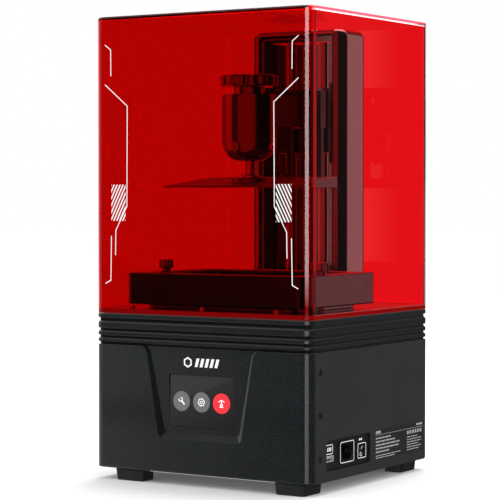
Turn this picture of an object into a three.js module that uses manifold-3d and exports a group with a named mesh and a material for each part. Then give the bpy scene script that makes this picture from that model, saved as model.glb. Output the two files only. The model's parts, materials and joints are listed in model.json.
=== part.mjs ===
// Desktop resin printer with a lift-off cover, a rising build platform and a resin vat.
// Millimetres. Origin at the centre of the footprint on the floor, X to the right,
// Y to the back, Z up.
import * as THREE from 'three';
import { mergeVertices } from 'three/addons/utils/BufferGeometryUtils.js';
import Module from 'manifold-3d';

const wasm = await Module();
wasm.setup();

// Overall size
const WIDTH = 245;
const DEPTH = 232;
const HEIGHT = 447.5;
const HALF_X = WIDTH / 2;
const HALF_Y = DEPTH / 2;
const CORNER_RADIUS = 10;

// Base
const BASE_BOTTOM = 11.3;
const PANEL_TOP = 131.3;
const COLLAR_BOTTOM = 131.6;
const COLLAR_TOP = 161;
const SHEET = 2;
const SHELL_WALL = 2.5;
const SEAM_Y = 106.3;
const GAP = 0.3;
const FOOT_SIZE = 34.4;
const FOOT_HEIGHT = 11;

// Front recess and screen
const RECESS_TOP = 132;
const RECESS_DEPTH_TOP = 2.5;
const RECESS_DEPTH_BOTTOM = 4.5;
const SCREEN_WIDTH = 72;
const SCREEN_HEIGHT = 48.9;
const SCREEN_Z = 80.85;
const SCREEN_TILT = 1.4;

// Ports on the right side
const PORT_PLATE_X = 118.2;
const INLET_Y = -48.4;
const INLET_Z = 35.25;
const USB_Y = -79.75;
const USB_Z = 31.8;
const SWITCH_Y = -20.35;
const SWITCH_Z = 33.4;
const ROCKER_X = 118.9;
const ROCKER_TILT = 9;

// Deck and vat
const DECK_BOTTOM = 161.3;
const DECK_TOP = 165.7;
const VAT_Y = -25;
const VAT_HALF_X = 99;
const VAT_HALF_Y = 69;
const VAT_BOTTOM = 169.7;
const VAT_TOP = 200;
const BASIN_HALF_X = 78;
const BASIN_HALF_Y = 52;
const THUMB_X = 88;
const THUMB_Y = -42;

// Tower and drive
const TOWER_Y = 84.6;
const TOWER_HALF_X = 53;
const TOWER_HALF_Y = 26.6;
const TOWER_TOP = 441.5;
const TOWER_WALL = 2.5;
const SLOT_HALF_X = 38;
const SLOT_BOTTOM = 199.5;
const SLOT_TOP = 433;
const DRIVE_Y = 82;
const ROD_X = 17.5;
const ROD_RADIUS = 5;
const SCREW_RADIUS = 4;

// Platform arm, ball joint and platform
const HEAD_Y = -26.5;
const HEAD_RADIUS = 26.75;
const HEAD_TOP = 373;
const NECK_TOP = 380.3;
const BALL_Z = 330;
const BALL_RADIUS = 10;
const KNOB_BOTTOM = 380.7;
const KNOB_TOP = 391.6;
const CLAMP_Z = 322;
const PLATE_BOTTOM = 282.8;
const PLATE_HALF_X = 72.5;
const PLATE_FRONT = -68;
const PLATE_BACK = 15;

// Cover
const COVER_WALL = 3.5;

const group = new THREE.Group();
group.name = 'resin_printer';

// ---------- helpers ----------

function material(color, roughness, metalness) {
  return new THREE.MeshStandardMaterial({ color, roughness, metalness });
}

function signedVolume(position, index) {
  const a = new THREE.Vector3();
  const b = new THREE.Vector3();
  const c = new THREE.Vector3();
  let volume = 0;
  for (let i = 0; i < index.length; i += 3) {
    a.fromBufferAttribute(position, index[i]);
    b.fromBufferAttribute(position, index[i + 1]);
    c.fromBufferAttribute(position, index[i + 2]);
    volume += a.dot(b.cross(c)) / 6;
  }
  return volume;
}

// Closed geometry to a manifold body, with its faces turned outward.
function body(geometry) {
  const plain = geometry.clone();
  plain.deleteAttribute('normal');
  plain.deleteAttribute('uv');
  const merged = mergeVertices(plain, 1e-4);
  const all = merged.index.array;
  const kept = [];
  for (let i = 0; i < all.length; i += 3) {
    const [p, q, r] = [all[i], all[i + 1], all[i + 2]];
    if (p !== q && q !== r && r !== p) kept.push(p, q, r);
  }
  if (signedVolume(merged.attributes.position, kept) < 0) kept.reverse();
  const mesh = new wasm.Mesh({
    numProp: 3,
    vertProperties: new Float32Array(merged.attributes.position.array),
    triVerts: new Uint32Array(kept),
  });
  return new wasm.Manifold(mesh);
}

function add(name, solid, look) {
  const mesh = solid.getMesh();
  const geometry = new THREE.BufferGeometry();
  geometry.setAttribute('position', new THREE.BufferAttribute(new Float32Array(mesh.vertProperties), 3));
  geometry.setIndex(new THREE.BufferAttribute(new Uint32Array(mesh.triVerts), 1));
  geometry.computeVertexNormals();
  const node = new THREE.Mesh(geometry, look);
  node.name = name;
  group.add(node);
}

function block(x0, x1, y0, y1, z0, z1) {
  const geometry = new THREE.BoxGeometry(x1 - x0, y1 - y0, z1 - z0);
  geometry.translate((x0 + x1) / 2, (y0 + y1) / 2, (z0 + z1) / 2);
  return body(geometry);
}

// Counter-clockwise rounded rectangle.
function roundedOutline(halfX, halfY, radius, steps = 5) {
  const points = [];
  const centres = [[1, 1], [-1, 1], [-1, -1], [1, -1]];
  centres.forEach(([sx, sy], corner) => {
    for (let i = 0; i <= steps; i += 1) {
      const angle = (corner + i / steps) * Math.PI / 2;
      const x = sx * (halfX - radius) + radius * Math.cos(angle);
      const y = sy * (halfY - radius) + radius * Math.sin(angle);
      points.push(new THREE.Vector2(x, y));
    }
  });
  return points;
}

// Skin through rings of equal point count, closed with a flat cap at each end.
function loft(rings) {
  const count = rings[0].length;
  const positions = rings.flat().flatMap((p) => [p.x, p.y, p.z]);
  const index = [];
  for (let r = 0; r < rings.length - 1; r += 1) {
    for (let i = 0; i < count; i += 1) {
      const j = (i + 1) % count;
      const a = r * count + i;
      const b = r * count + j;
      index.push(a, b, b + count, a, b + count, a + count);
    }
  }
  const capOutline = (ring) => {
    const flatY = new Set(ring.map((p) => p.z.toFixed(4))).size > 1;
    return ring.map((p) => new THREE.Vector2(p.x, flatY ? p.z : p.y));
  };
  const last = (rings.length - 1) * count;
  THREE.ShapeUtils.triangulateShape(capOutline(rings[0]), []).forEach(([a, b, c]) => {
    index.push(a, c, b);
  });
  THREE.ShapeUtils.triangulateShape(capOutline(rings[rings.length - 1]), []).forEach(([a, b, c]) => {
    index.push(last + a, last + b, last + c);
  });
  const geometry = new THREE.BufferGeometry();
  geometry.setAttribute('position', new THREE.Float32BufferAttribute(positions, 3));
  geometry.setIndex(index);
  return body(geometry);
}

// Rounded rectangular column whose size follows [inset, z] steps from bottom to top.
function column(halfX, halfY, radius, steps, cx = 0, cy = 0, arc = 5) {
  return loft(steps.map(([inset, z]) => {
    const r = Math.max(radius - inset, 0.4);
    const outline = roundedOutline(halfX - inset, halfY - inset, r, arc);
    return outline.map((p) => new THREE.Vector3(p.x + cx, p.y + cy, z));
  }));
}

// Slab of a 2D shape between two positions along an axis. The shape lies in (y, z) for x,
// in (x, z) for y and in (x, y) for z.
function slab(shape, axis, from, to, curveSegments = 6) {
  const settings = { depth: to - from, bevelEnabled: false, curveSegments };
  const geometry = new THREE.ExtrudeGeometry(shape, settings);
  geometry.translate(0, 0, from);
  const turn = new THREE.Matrix4();
  if (axis === 'x') turn.set(0, 0, 1, 0, 1, 0, 0, 0, 0, 1, 0, 0, 0, 0, 0, 1);
  if (axis === 'y') turn.set(1, 0, 0, 0, 0, 0, 1, 0, 0, 1, 0, 0, 0, 0, 0, 1);
  geometry.applyMatrix4(turn);
  return body(geometry);
}

function polygon(pairs) {
  return new THREE.Shape(pairs.map(([u, v]) => new THREE.Vector2(u, v)));
}

function roundedShape(u0, u1, v0, v1, radius, steps = 4) {
  const outline = roundedOutline((u1 - u0) / 2, (v1 - v0) / 2, radius, steps);
  const shift = new THREE.Vector2((u0 + u1) / 2, (v0 + v1) / 2);
  return new THREE.Shape(outline.map((p) => p.add(shift)));
}

// Solid of revolution from [radius, height] pairs. The heights run along the axis.
function turned(profile, at, axis = 'z', segments = 24) {
  const points = profile.map(([r, h]) => new THREE.Vector2(r, h));
  const geometry = new THREE.LatheGeometry(points, segments);
  if (axis === 'z') geometry.rotateX(Math.PI / 2);
  if (axis === 'x') geometry.rotateZ(-Math.PI / 2);
  if (axis === '-x') geometry.rotateZ(Math.PI / 2);
  if (axis === '-y') geometry.rotateX(Math.PI);
  geometry.translate(...at);
  return body(geometry);
}

function rod(radius, from, to, cx, cy, segments = 20) {
  return turned([[0, from], [radius, from], [radius, to], [0, to]], [cx, cy, 0], 'z', segments);
}

function union(parts) {
  return parts.reduce((whole, part) => whole.add(part));
}

function cut(solid, tools) {
  return tools.reduce((left, tool) => left.subtract(tool), solid);
}

// ---------- materials ----------

const charcoal = material(0x34383a, 0.45, 0.2);
const blackMetal = material(0x17181a, 0.4, 0.6);
const weave = material(0x26282a, 0.35, 0.3);
const redAcrylic = material(0xc00008, 0.08, 0);
const rubber = material(0x141414, 0.85, 0);
const aluminium = material(0xa6a9ad, 0.35, 1);
const steel = material(0xc4c6c9, 0.22, 1);
const glassBlack = material(0x121214, 0.1, 0);
const plasticBlack = material(0x1b1b1c, 0.5, 0);
const boardGreen = material(0x1d5a35, 0.6, 0);
const film = material(0xd8e0e4, 0.1, 0);
const lensGlass = material(0x8fa3b0, 0.05, 0);
const brass = material(0xb38b3e, 0.3, 1);

// ---------- base enclosure ----------

const POST_X = 114.5;
const POST_Y = 100;
const SIDE_SCREW_Z = [33, 73.4, 113];
const SIDE_SCREW_Y = -99;

function baseTray() {
  const outer = column(HALF_X - 3, HALF_Y - 3, 7, [[0, BASE_BOTTOM], [0, 18]]);
  const inner = column(HALF_X - 4.5, HALF_Y - 4.5, 5.5, [[0, 13.3], [0, 27]]);
  let tray = outer.subtract(inner);
  for (const sx of [-1, 1]) {
    for (const sy of [-1, 1]) {
      const x = sx * POST_X;
      const y = sy * POST_Y;
      tray = tray.add(block(x - 4, x + 4, y - 5, y + 5, 12.5, 131));
    }
    for (const z of SIDE_SCREW_Z) {
      const hole = turned([[0, 108], [1.8, 108], [1.8, 120], [0, 120]], [0, SIDE_SCREW_Y, z],
        sx > 0 ? 'x' : '-x', 10);
      tray = tray.subtract(hole);
    }
  }
  for (const [x, y] of [[-108, -50], [-64, -50], [-108, 50], [-64, 50]]) {
    tray = tray.add(block(x - 3, x + 3, y - 3, y + 3, 12.5, 20));
  }
  return tray;
}

// Outline of the front recess, seen from the front, drawn in (x, z).
function recessShape(topX, bottomX, bottomZ, fillet) {
  const flare = 9.2;
  const slope = (topX - bottomX) / (RECESS_TOP - bottomZ);
  const sideX = (z) => bottomX + slope * (z - bottomZ);
  const low = bottomZ + fillet;
  const high = RECESS_TOP - flare;
  const shape = new THREE.Shape();
  shape.moveTo(topX + flare, RECESS_TOP + 4);
  shape.lineTo(-topX - flare, RECESS_TOP + 4);
  shape.lineTo(-topX - flare, RECESS_TOP);
  shape.quadraticCurveTo(-topX, RECESS_TOP, -sideX(high), high);
  shape.lineTo(-sideX(low), low);
  shape.quadraticCurveTo(-bottomX, bottomZ, -bottomX + fillet, bottomZ);
  shape.lineTo(bottomX - fillet, bottomZ);
  shape.quadraticCurveTo(bottomX, bottomZ, sideX(low), low);
  shape.lineTo(sideX(high), high);
  shape.quadraticCurveTo(topX, RECESS_TOP, topX + flare, RECESS_TOP);
  shape.closePath();
  return shape;
}

function frontShell() {
  const skin = [[1.2, BASE_BOTTOM], [0, 12.8], [0, PANEL_TOP]];
  const outer = column(HALF_X, HALF_Y, CORNER_RADIUS, skin, 0, 0, 6);
  const inner = column(HALF_X - SHELL_WALL, HALF_Y - SHELL_WALL, 7.5, [[0, 0], [0, 140]], 0, 0, 6);
  const front = block(-HALF_X - 1, HALF_X + 1, -HALF_Y - 1, -SEAM_Y, 0, PANEL_TOP);
  const ring = outer.subtract(inner);
  const backing = slab(recessShape(64, 49.5, 40.5, 8), 'y', -HALF_Y + 1, -HALF_Y + 6.8, 5);
  let shell = ring.add(backing).intersect(front);
  const wide = recessShape(61.06, 46.56, 44, 5.94).getPoints(5).slice(0, -1);
  const narrow = recessShape(58, 42, 50, 4.6).getPoints(5).slice(0, -1);
  const floorSlope = (RECESS_DEPTH_BOTTOM - RECESS_DEPTH_TOP) / (RECESS_TOP - 50);
  const floorY = (z) => -HALF_Y + RECESS_DEPTH_TOP + floorSlope * (RECESS_TOP - z);
  const cutter = loft([
    wide.map((p) => new THREE.Vector3(p.x, -HALF_Y - 1, p.y)),
    wide.map((p) => new THREE.Vector3(p.x, -HALF_Y, p.y)),
    narrow.map((p) => new THREE.Vector3(p.x, floorY(p.y), p.y)),
  ]);
  shell = shell.subtract(cutter);
  const halfW = SCREEN_WIDTH / 2 + GAP;
  const halfH = SCREEN_HEIGHT / 2 + GAP;
  const opening = roundedShape(-halfW, halfW, SCREEN_Z - halfH, SCREEN_Z + halfH, 0.5, 2);
  return shell.subtract(slab(opening, 'y', -HALF_Y - 1, -HALF_Y + 12));
}

function ribbedCollar() {
  const profile = [
    [2, COLLAR_BOTTOM], [2, 133], [0, 133.8], [0, 136.2], [1.4, 137.8],
    [2, 138], [2, 139.7], [0, 139.9], [0, 143], [1.4, 144.6],
    [2, 144.8], [2, 146.6], [0, 146.8], [0, 152], [1.5, 153.8],
    [2, 154], [2, 156.8], [0, 157], [0, COLLAR_TOP],
  ];
  const outer = column(HALF_X, HALF_Y, CORNER_RADIUS, profile);
  const inner = column(HALF_X - 7, HALF_Y - 7, 4, [[0, 120], [0, 170]]);
  return outer.subtract(inner);
}

// Flat side plate with a bent-in flange along its top edge.
function sidePanel(side) {
  const reach = SEAM_Y - GAP;
  const outerX = side * HALF_X;
  const innerX = side * (HALF_X - SHEET);
  const x0 = Math.min(outerX, innerX);
  const x1 = Math.max(outerX, innerX);
  const flangeX = side * (HALF_X - 3.2);
  let panel = block(x0, x1, -reach, reach, BASE_BOTTOM, PANEL_TOP);
  panel = panel.add(block(Math.min(flangeX, innerX), Math.max(flangeX, innerX), -90, 90, 128.5, PANEL_TOP));
  const way = side > 0 ? 'x' : '-x';
  for (const z of SIDE_SCREW_Z) {
    const hole = [[0, 118], [1.8, 118], [1.8, 121.2], [3.3, 121.2], [3.3, 124], [0, 124]];
    panel = panel.subtract(turned(hole, [0, SIDE_SCREW_Y, z], way, 12));
  }
  return panel;
}

function rightPanel() {
  const pocket = roundedShape(-88, -4, 20.5, 49, 4);
  return sidePanel(1).subtract(slab(pocket, 'x', 118, 124));
}

function leftPanel() {
  const slots = [];
  for (let i = 0; i < 9; i += 1) {
    const y = -40 + i * 10;
    slots.push(slab(roundedShape(y - 2, y + 2, 60, 100, 1.99, 2), 'x', -124, -118));
  }
  return cut(sidePanel(-1), slots);
}

const FAN_X = -62;
const FAN_Z = 72;

function rearPanel() {
  const skin = [[1.2, BASE_BOTTOM], [0, 12.8], [0, PANEL_TOP]];
  const outer = column(HALF_X, HALF_Y, CORNER_RADIUS, skin, 0, 0, 6);
  const inner = column(HALF_X - SHEET, HALF_Y - SHEET, 8, [[0, 0], [0, 140]], 0, 0, 6);
  const rear = block(-HALF_X - 1, HALF_X + 1, SEAM_Y, HALF_Y + 1, 0, PANEL_TOP);
  const slots = [];
  for (let i = -4; i <= 4; i += 1) {
    const dx = i * 6;
    const half = Math.sqrt(27.5 ** 2 - dx ** 2);
    const slot = roundedShape(FAN_X + dx - 2, FAN_X + dx + 2, FAN_Z - half, FAN_Z + half, 1.99, 2);
    slots.push(slab(slot, 'y', 112, 118));
  }
  for (let i = 0; i < 6; i += 1) {
    const z = 50 + i * 8;
    slots.push(slab(roundedShape(30, 90, z - 2, z + 2, 1.99, 2), 'y', 112, 118));
  }
  return cut(outer.subtract(inner).intersect(rear), slots);
}

function panelScrew(side, z) {
  const profile = [[0, 109.5], [1.5, 109.5], [1.5, 121.4], [3, 121.4], [3, 122.1], [2.6, 122.4], [0, 122.4]];
  const screw = turned(profile, [0, SIDE_SCREW_Y, z], side > 0 ? 'x' : '-x', 12);
  const socket = turned([[0, 121.7], [1.4, 121.7], [1.4, 123], [0, 123]], [0, SIDE_SCREW_Y, z],
    side > 0 ? 'x' : '-x', 6);
  return screw.subtract(socket);
}

// Square rubber foot with one corner cut off towards the middle of the base.
function foot(cx, cy, cutX, cutY) {
  const half = FOOT_SIZE / 2;
  const pad = column(half, half, 5, [[2, 0], [1.2, 0.8], [0, FOOT_HEIGHT]], cx, cy, 3);
  const corner = new THREE.Vector2(cx + cutX * half, cy + cutY * half);
  const reach = 17;
  const wedge = polygon([
    [corner.x + cutX * 2, corner.y + cutY * 2],
    [corner.x - cutX * reach, corner.y + cutY * 2],
    [corner.x - cutX * reach, corner.y],
    [corner.x, corner.y - cutY * reach],
    [corner.x + cutX * 2, corner.y - cutY * reach],
  ]);
  return pad.subtract(slab(wedge, 'z', -1, FOOT_HEIGHT + 1));
}

add('base_tray', baseTray(), blackMetal);
add('front_shell', frontShell(), weave);
add('ribbed_collar', ribbedCollar(), charcoal);
add('side_panel_right', rightPanel(), charcoal);
add('side_panel_left', leftPanel(), charcoal);
add('rear_panel', rearPanel(), charcoal);
SIDE_SCREW_Z.forEach((z, i) => {
  add(`panel_screw_right_${i + 1}`, panelScrew(1, z), steel);
  add(`panel_screw_left_${i + 1}`, panelScrew(-1, z), steel);
});
add('foot_front_left', foot(-82.4, -97.8, 1, 1), rubber);
add('foot_front_right', foot(97.8, -97.8, -1, 1), rubber);
add('foot_back_left', foot(-97.8, 88.6, 1, -1), rubber);
add('foot_back_right', foot(97.8, 88.6, -1, -1), rubber);

// ---------- screen ----------

function tiltedPanel(width, height, thickness, offset) {
  const geometry = new THREE.BoxGeometry(width, thickness, height);
  geometry.translate(0, offset, 0);
  geometry.rotateX(THREE.MathUtils.degToRad(-SCREEN_TILT));
  geometry.translate(0, -HALF_Y + 4.9, SCREEN_Z);
  return body(geometry);
}

add('touchscreen', tiltedPanel(SCREEN_WIDTH, SCREEN_HEIGHT, 1.6, 0.2), glassBlack);

function displayBoard() {
  const board = tiltedPanel(84, 58, 1.6, 5.6);
  const chips = [[-25, 12, 10], [8, -8, 14], [28, 14, 8]].map(([x, z, size]) => {
    const y = -HALF_Y + 11;
    return block(x - size / 2, x + size / 2, y, y + 2.4, SCREEN_Z + z - size / 2, SCREEN_Z + z + size / 2);
  });
  return union([board, ...chips]);
}

add('display_board', displayBoard(), boardGreen);

// ---------- ports and switch ----------

function portPlate() {
  const plate = block(PORT_PLATE_X, PORT_PLATE_X + SHEET, -91, -1, 18.4, 52);
  const usb = block(110, 125, USB_Y - 7.6, USB_Y + 7.6, USB_Z - 3, USB_Z + 3);
  const inlet = block(110, 125, INLET_Y - 11.9, INLET_Y + 11.9, INLET_Z - 8.75, INLET_Z + 8.75);
  const rocker = block(110, 125, SWITCH_Y - 7.2, SWITCH_Y + 7.2, SWITCH_Z - 6.6, SWITCH_Z + 6.6);
  return cut(plate, [usb, inlet, rocker]);
}

function usbPort() {
  const shell = block(104, 120.9, USB_Y - 7.3, USB_Y + 7.3, USB_Z - 2.8, USB_Z + 2.8);
  const mouth = block(107, 122, USB_Y - 6.6, USB_Y + 6.6, USB_Z - 2.2, USB_Z + 2.2);
  const tongue = block(106, 119.5, USB_Y - 5.6, USB_Y + 5.6, USB_Z + 0.3, USB_Z + 1.7);
  return shell.subtract(mouth).add(tongue);
}

// Three-pin appliance inlet with two chamfered corners at the bottom of its mouth.
function powerInlet() {
  const y = INLET_Y;
  const z = INLET_Z;
  const flange = slab(roundedShape(y - 13.1, y + 13.1, z - 9.95, z + 9.95, 2.5, 3), 'x', 120.4, 121.7);
  const box = block(99, 121, y - 11.6, y + 11.6, z - 8.5, z + 8.5);
  const mouth = polygon([
    [y - 10.6, z + 7.4], [y - 10.6, z - 2.6], [y - 5.8, z - 7.4],
    [y + 5.8, z - 7.4], [y + 10.6, z - 2.6], [y + 10.6, z + 7.4],
  ]);
  const cavity = slab(mouth, 'x', 104, 123);
  const pins = [[-7, 0], [0, -3], [7, 0]].map(([dy, dz]) => (
    block(102, 117, y + dy - 1, y + dy + 1, z + dz - 2, z + dz + 2)
  ));
  return union([flange.add(box).subtract(cavity), ...pins]);
}

function switchFrame() {
  const y = SWITCH_Y;
  const z = SWITCH_Z;
  const flange = slab(roundedShape(y - 8, y + 8, z - 7.2, z + 7.2, 1.2, 2), 'x', 120.4, 121.7);
  const box = block(104, 121, y - 6.9, y + 6.9, z - 6.4, z + 6.4);
  return flange.add(box).subtract(block(111, 123, y - 5.7, y + 5.7, z - 5.9, z + 5.9));
}

// Rocker in the off position: its top end stands out and its bottom end is pressed in.
function switchRocker() {
  const tilt = THREE.MathUtils.degToRad(ROCKER_TILT);
  const profile = [[-3.6, -3.6], [2.6, -4.9], [1.3, 0], [2.6, 4.9], [-3.6, 3.6]];
  const shape = polygon(profile.map(([u, v]) => {
    const x = u * Math.cos(tilt) + v * Math.sin(tilt);
    const z = -u * Math.sin(tilt) + v * Math.cos(tilt);
    return [ROCKER_X + x, SWITCH_Z + z];
  }));
  return slab(shape, 'y', SWITCH_Y - 5.35, SWITCH_Y + 5.35);
}

add('port_plate', portPlate(), blackMetal);
add('usb_port', usbPort(), steel);
add('power_inlet', powerInlet(), plasticBlack);
add('switch_frame', switchFrame(), plasticBlack);
add('switch_rocker', switchRocker(), plasticBlack);

// ---------- parts inside the base ----------

function projectorBody() {
  const casing = column(54, 46, 5, [[0, 24], [0, 72], [2, 74]], 0, VAT_Y, 3);
  const legs = [[-46, -38], [46, -38], [-46, 38], [46, 38]].map(([x, y]) => (
    rod(4, 13.6, 26, x, VAT_Y + y, 12)
  ));
  const seat = rod(27, 70, 80, 0, VAT_Y, 24);
  const bore = rod(22.3, 62, 90, 0, VAT_Y, 24);
  return cut(union([casing, seat, ...legs]), [bore]);
}

function lensBarrel() {
  const profile = [
    [0, 63], [22, 63], [22, 84], [25, 86], [25, 96], [22, 98], [22, 112], [26, 114],
    [26, 120], [20, 120], [18, 116], [0, 118.5],
  ];
  return turned(profile, [0, VAT_Y, 0], 'z', 24);
}

function mainboard() {
  const board = block(-114, -58, -56, 56, 20.3, 21.9);
  const parts = [
    [-102, -40, 14, 12, 9], [-80, -34, 20, 20, 6], [-70, 10, 12, 30, 11],
    [-98, 8, 22, 22, 5], [-104, 42, 12, 16, 13], [-76, 44, 16, 14, 8],
  ].map(([x, y, w, d, h]) => block(x - w / 2, x + w / 2, y - d / 2, y + d / 2, 21.5, 21.9 + h));
  return union([board, ...parts]);
}

function powerSupply() {
  const casing = block(58, 108, 2, 100, 13.7, 50);
  const slots = [];
  for (let i = 0; i < 7; i += 1) {
    const y = 14 + i * 12;
    slots.push(block(64, 102, y, y + 4, 48.5, 52));
  }
  return cut(casing, slots);
}

function fanFrame() {
  const size = 30;
  const shape = roundedShape(FAN_X - size, FAN_X + size, FAN_Z - size, FAN_Z + size, 4, 3);
  const frame = slab(shape, 'y', 97, 113.6);
  const tunnel = turned([[0, 90], [28, 90], [28, 120], [0, 120]], [FAN_X, 0, FAN_Z], 'y', 28);
  const strutA = block(FAN_X - 29, FAN_X + 29, 97, 99, FAN_Z - 1.5, FAN_Z + 1.5);
  const strutB = block(FAN_X - 1.5, FAN_X + 1.5, 97, 99, FAN_Z - 29, FAN_Z + 29);
  const seat = turned([[0, 97], [9, 97], [9, 100], [0, 100]], [FAN_X, 0, FAN_Z], 'y', 20);
  return union([frame.subtract(tunnel), strutA, strutB, seat]);
}

function fanRotor() {
  let rotor = turned([[0, 100.5], [11, 100.5], [11, 112], [10, 112.8], [0, 112.8]],
    [FAN_X, 0, FAN_Z], 'y', 20);
  for (let i = 0; i < 7; i += 1) {
    const blade = new THREE.BoxGeometry(12, 1.4, 17.5);
    blade.rotateZ(THREE.MathUtils.degToRad(35));
    blade.translate(0, 0, 18);
    blade.rotateY(i * Math.PI * 2 / 7);
    blade.translate(FAN_X, 106.5, FAN_Z);
    rotor = rotor.add(body(blade));
  }
  return rotor;
}

function zMotor() {
  const square = roundedShape(-21.15, 21.15, DRIVE_Y - 21.15, DRIVE_Y + 21.15, 4.5, 2);
  const casing = slab(square, 'z', 114.9, 158.9);
  const boss = rod(11, 158, 160.9, 0, DRIVE_Y, 20);
  const bore = rod(SCREW_RADIUS + 0.5, 118, 165, 0, DRIVE_Y, 20);
  return casing.add(boss).subtract(bore);
}

add('projector_body', projectorBody(), aluminium);
add('projector_lens', lensBarrel(), lensGlass);
add('mainboard', mainboard(), boardGreen);
add('power_supply', powerSupply(), aluminium);
add('fan_frame', fanFrame(), plasticBlack);
add('fan_rotor', fanRotor(), plasticBlack);
add('z_motor', zMotor(), blackMetal);

// ---------- deck ----------

const DECK_SCREW_X = [-82, 0, 82];
const DECK_SCREW_Y = -108;

function deckPlate() {
  const inset = 4.3;
  const plate = column(HALF_X - inset, HALF_Y - inset, 5.7, [[0, DECK_BOTTOM], [0, 165], [0.7, DECK_TOP]], 0, 0, 4);
  const ledge = slab(roundedShape(-60, 60, VAT_Y - 36, VAT_Y + 36, 3, 3), 'z', 160, 167);
  const rebate = slab(roundedShape(-64, 64, VAT_Y - 40, VAT_Y + 40, 4, 3), 'z', 163.2, 167);
  const holes = DECK_SCREW_X.map((x) => rod(1.8, 160, 167, x, DECK_SCREW_Y, 10));
  const thumbs = [-THUMB_X, THUMB_X].map((x) => rod(2.9, 160, 167, x, THUMB_Y, 12));
  const drive = rod(7, 160, 167, 0, DRIVE_Y, 16);
  return cut(plate, [ledge, rebate, drive, ...holes, ...thumbs]);
}

function lightWindow() {
  return slab(roundedShape(-63.7, 63.7, VAT_Y - 39.7, VAT_Y + 39.7, 3.8, 3), 'z', 163.4, 165.5);
}

function deckScrew(x) {
  const profile = [[0, 161.4], [1.5, 161.4], [1.5, 166], [3, 166], [3, 168.4], [2, 169.6], [0, 169.6]];
  const socket = rod(1.4, 168, 171, x, DECK_SCREW_Y, 6);
  return turned(profile, [x, DECK_SCREW_Y, 0], 'z', 12).subtract(socket);
}

add('deck_plate', deckPlate(), charcoal);
add('light_window', lightWindow(), lensGlass);
DECK_SCREW_X.forEach((x, i) => add(`deck_screw_${i + 1}`, deckScrew(x), steel));

// ---------- vat ----------

function vatFrame() {
  const sides = [[1, VAT_BOTTOM], [0, 170.7], [0, 199.2], [0.8, VAT_TOP]];
  const outer = column(VAT_HALF_X, VAT_HALF_Y, 6, sides, 0, VAT_Y, 4);
  const basin = column(BASIN_HALF_X + 2, BASIN_HALF_Y + 2, 10,
    [[2, 169], [1, 198.4], [-0.6, VAT_TOP + 0.2]], 0, VAT_Y, 4);
  const holes = [-THUMB_X, THUMB_X].map((x) => rod(2.9, 165, 205, x, THUMB_Y, 12));
  return cut(outer, [basin, ...holes]);
}

function vatFilm() {
  return slab(roundedShape(-83, 83, VAT_Y - 58, VAT_Y + 58, 11, 3), 'z', 169, 169.4);
}

function filmFrame() {
  const outer = roundedShape(-84.5, 84.5, VAT_Y - 60, VAT_Y + 60, 12, 3);
  const inner = roundedShape(-74, 74, VAT_Y - 48, VAT_Y + 48, 8, 3);
  return slab(outer, 'z', 166, 168.8).subtract(slab(inner, 'z', 165, 170));
}

function thumbscrew(x) {
  const profile = [
    [0, 162], [2.5, 162], [2.5, VAT_TOP + 0.3], [4.6, VAT_TOP + 0.3], [4.6, 203],
    [6.4, 203], [7, 203.6], [7, 210.9], [6.4, 211.5], [0, 211.5],
  ];
  return turned(profile, [x, THUMB_Y, 0], 'z', 16);
}

add('vat_frame', vatFrame(), aluminium);
add('vat_film', vatFilm(), film);
add('film_frame', filmFrame(), steel);
add('thumbscrew_left', thumbscrew(-THUMB_X), blackMetal);
add('thumbscrew_right', thumbscrew(THUMB_X), blackMetal);

// ---------- tower and drive ----------

function towerHousing() {
  const skin = [[0, 166], [0, TOWER_TOP - 4], [0.5, TOWER_TOP - 2], [2, TOWER_TOP - 0.5], [4, TOWER_TOP]];
  const outer = column(TOWER_HALF_X, TOWER_HALF_Y, 12, skin, 0, TOWER_Y);
  const inner = column(TOWER_HALF_X - TOWER_WALL, TOWER_HALF_Y - TOWER_WALL, 9.5,
    [[0, 160], [0, TOWER_TOP - TOWER_WALL]], 0, TOWER_Y);
  const slot = roundedShape(-SLOT_HALF_X, SLOT_HALF_X, SLOT_BOTTOM, SLOT_TOP, 3, 3);
  return outer.subtract(inner).subtract(slab(slot, 'y', 50, 66));
}

// Aluminium profile with two grooves down its front face.
function towerColumn() {
  const face = 97.5;
  const back = 107.5;
  const shape = polygon([
    [-44, back], [-44, face], [-34, face], [-34, face + 3], [-28, face + 3], [-28, face],
    [28, face], [28, face + 3], [34, face + 3], [34, face], [44, face], [44, back],
  ]);
  return slab(shape, 'z', 166, 437.5);
}

function upperRodBlock() {
  const blockBody = block(-34, 34, 70, 97.2, 430, 437.5);
  const tools = [-ROD_X, ROD_X].map((x) => rod(ROD_RADIUS + 0.15, 425, 436, x, DRIVE_Y));
  tools.push(rod(SCREW_RADIUS + 0.3, 425, 436, 0, DRIVE_Y));
  return cut(blockBody, tools);
}

add('tower_housing', towerHousing(), charcoal);
add('tower_column', towerColumn(), aluminium);
add('guide_rod_left', rod(ROD_RADIUS, 166, 435.5, -ROD_X, DRIVE_Y), steel);
add('guide_rod_right', rod(ROD_RADIUS, 166, 435.5, ROD_X, DRIVE_Y), steel);
add('upper_rod_block', upperRodBlock(), blackMetal);
add('lead_screw', rod(SCREW_RADIUS, 120, 435, 0, DRIVE_Y), steel);

// ---------- carriage ----------

function carriageBlock() {
  const hub = block(-31, 31, 70, 95, 318, 383);
  const bores = [-ROD_X, ROD_X].map((x) => rod(8.8, 310, 390, x, DRIVE_Y));
  bores.push(rod(5, 310, 390, 0, DRIVE_Y));
  const nutSeat = block(-7.6, 7.6, DRIVE_Y - 9, DRIVE_Y + 9, 310, 327);
  const flag = block(30, 42, 84, 85.5, 340, 350);
  return cut(hub, [...bores, nutSeat]).add(flag);
}

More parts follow.
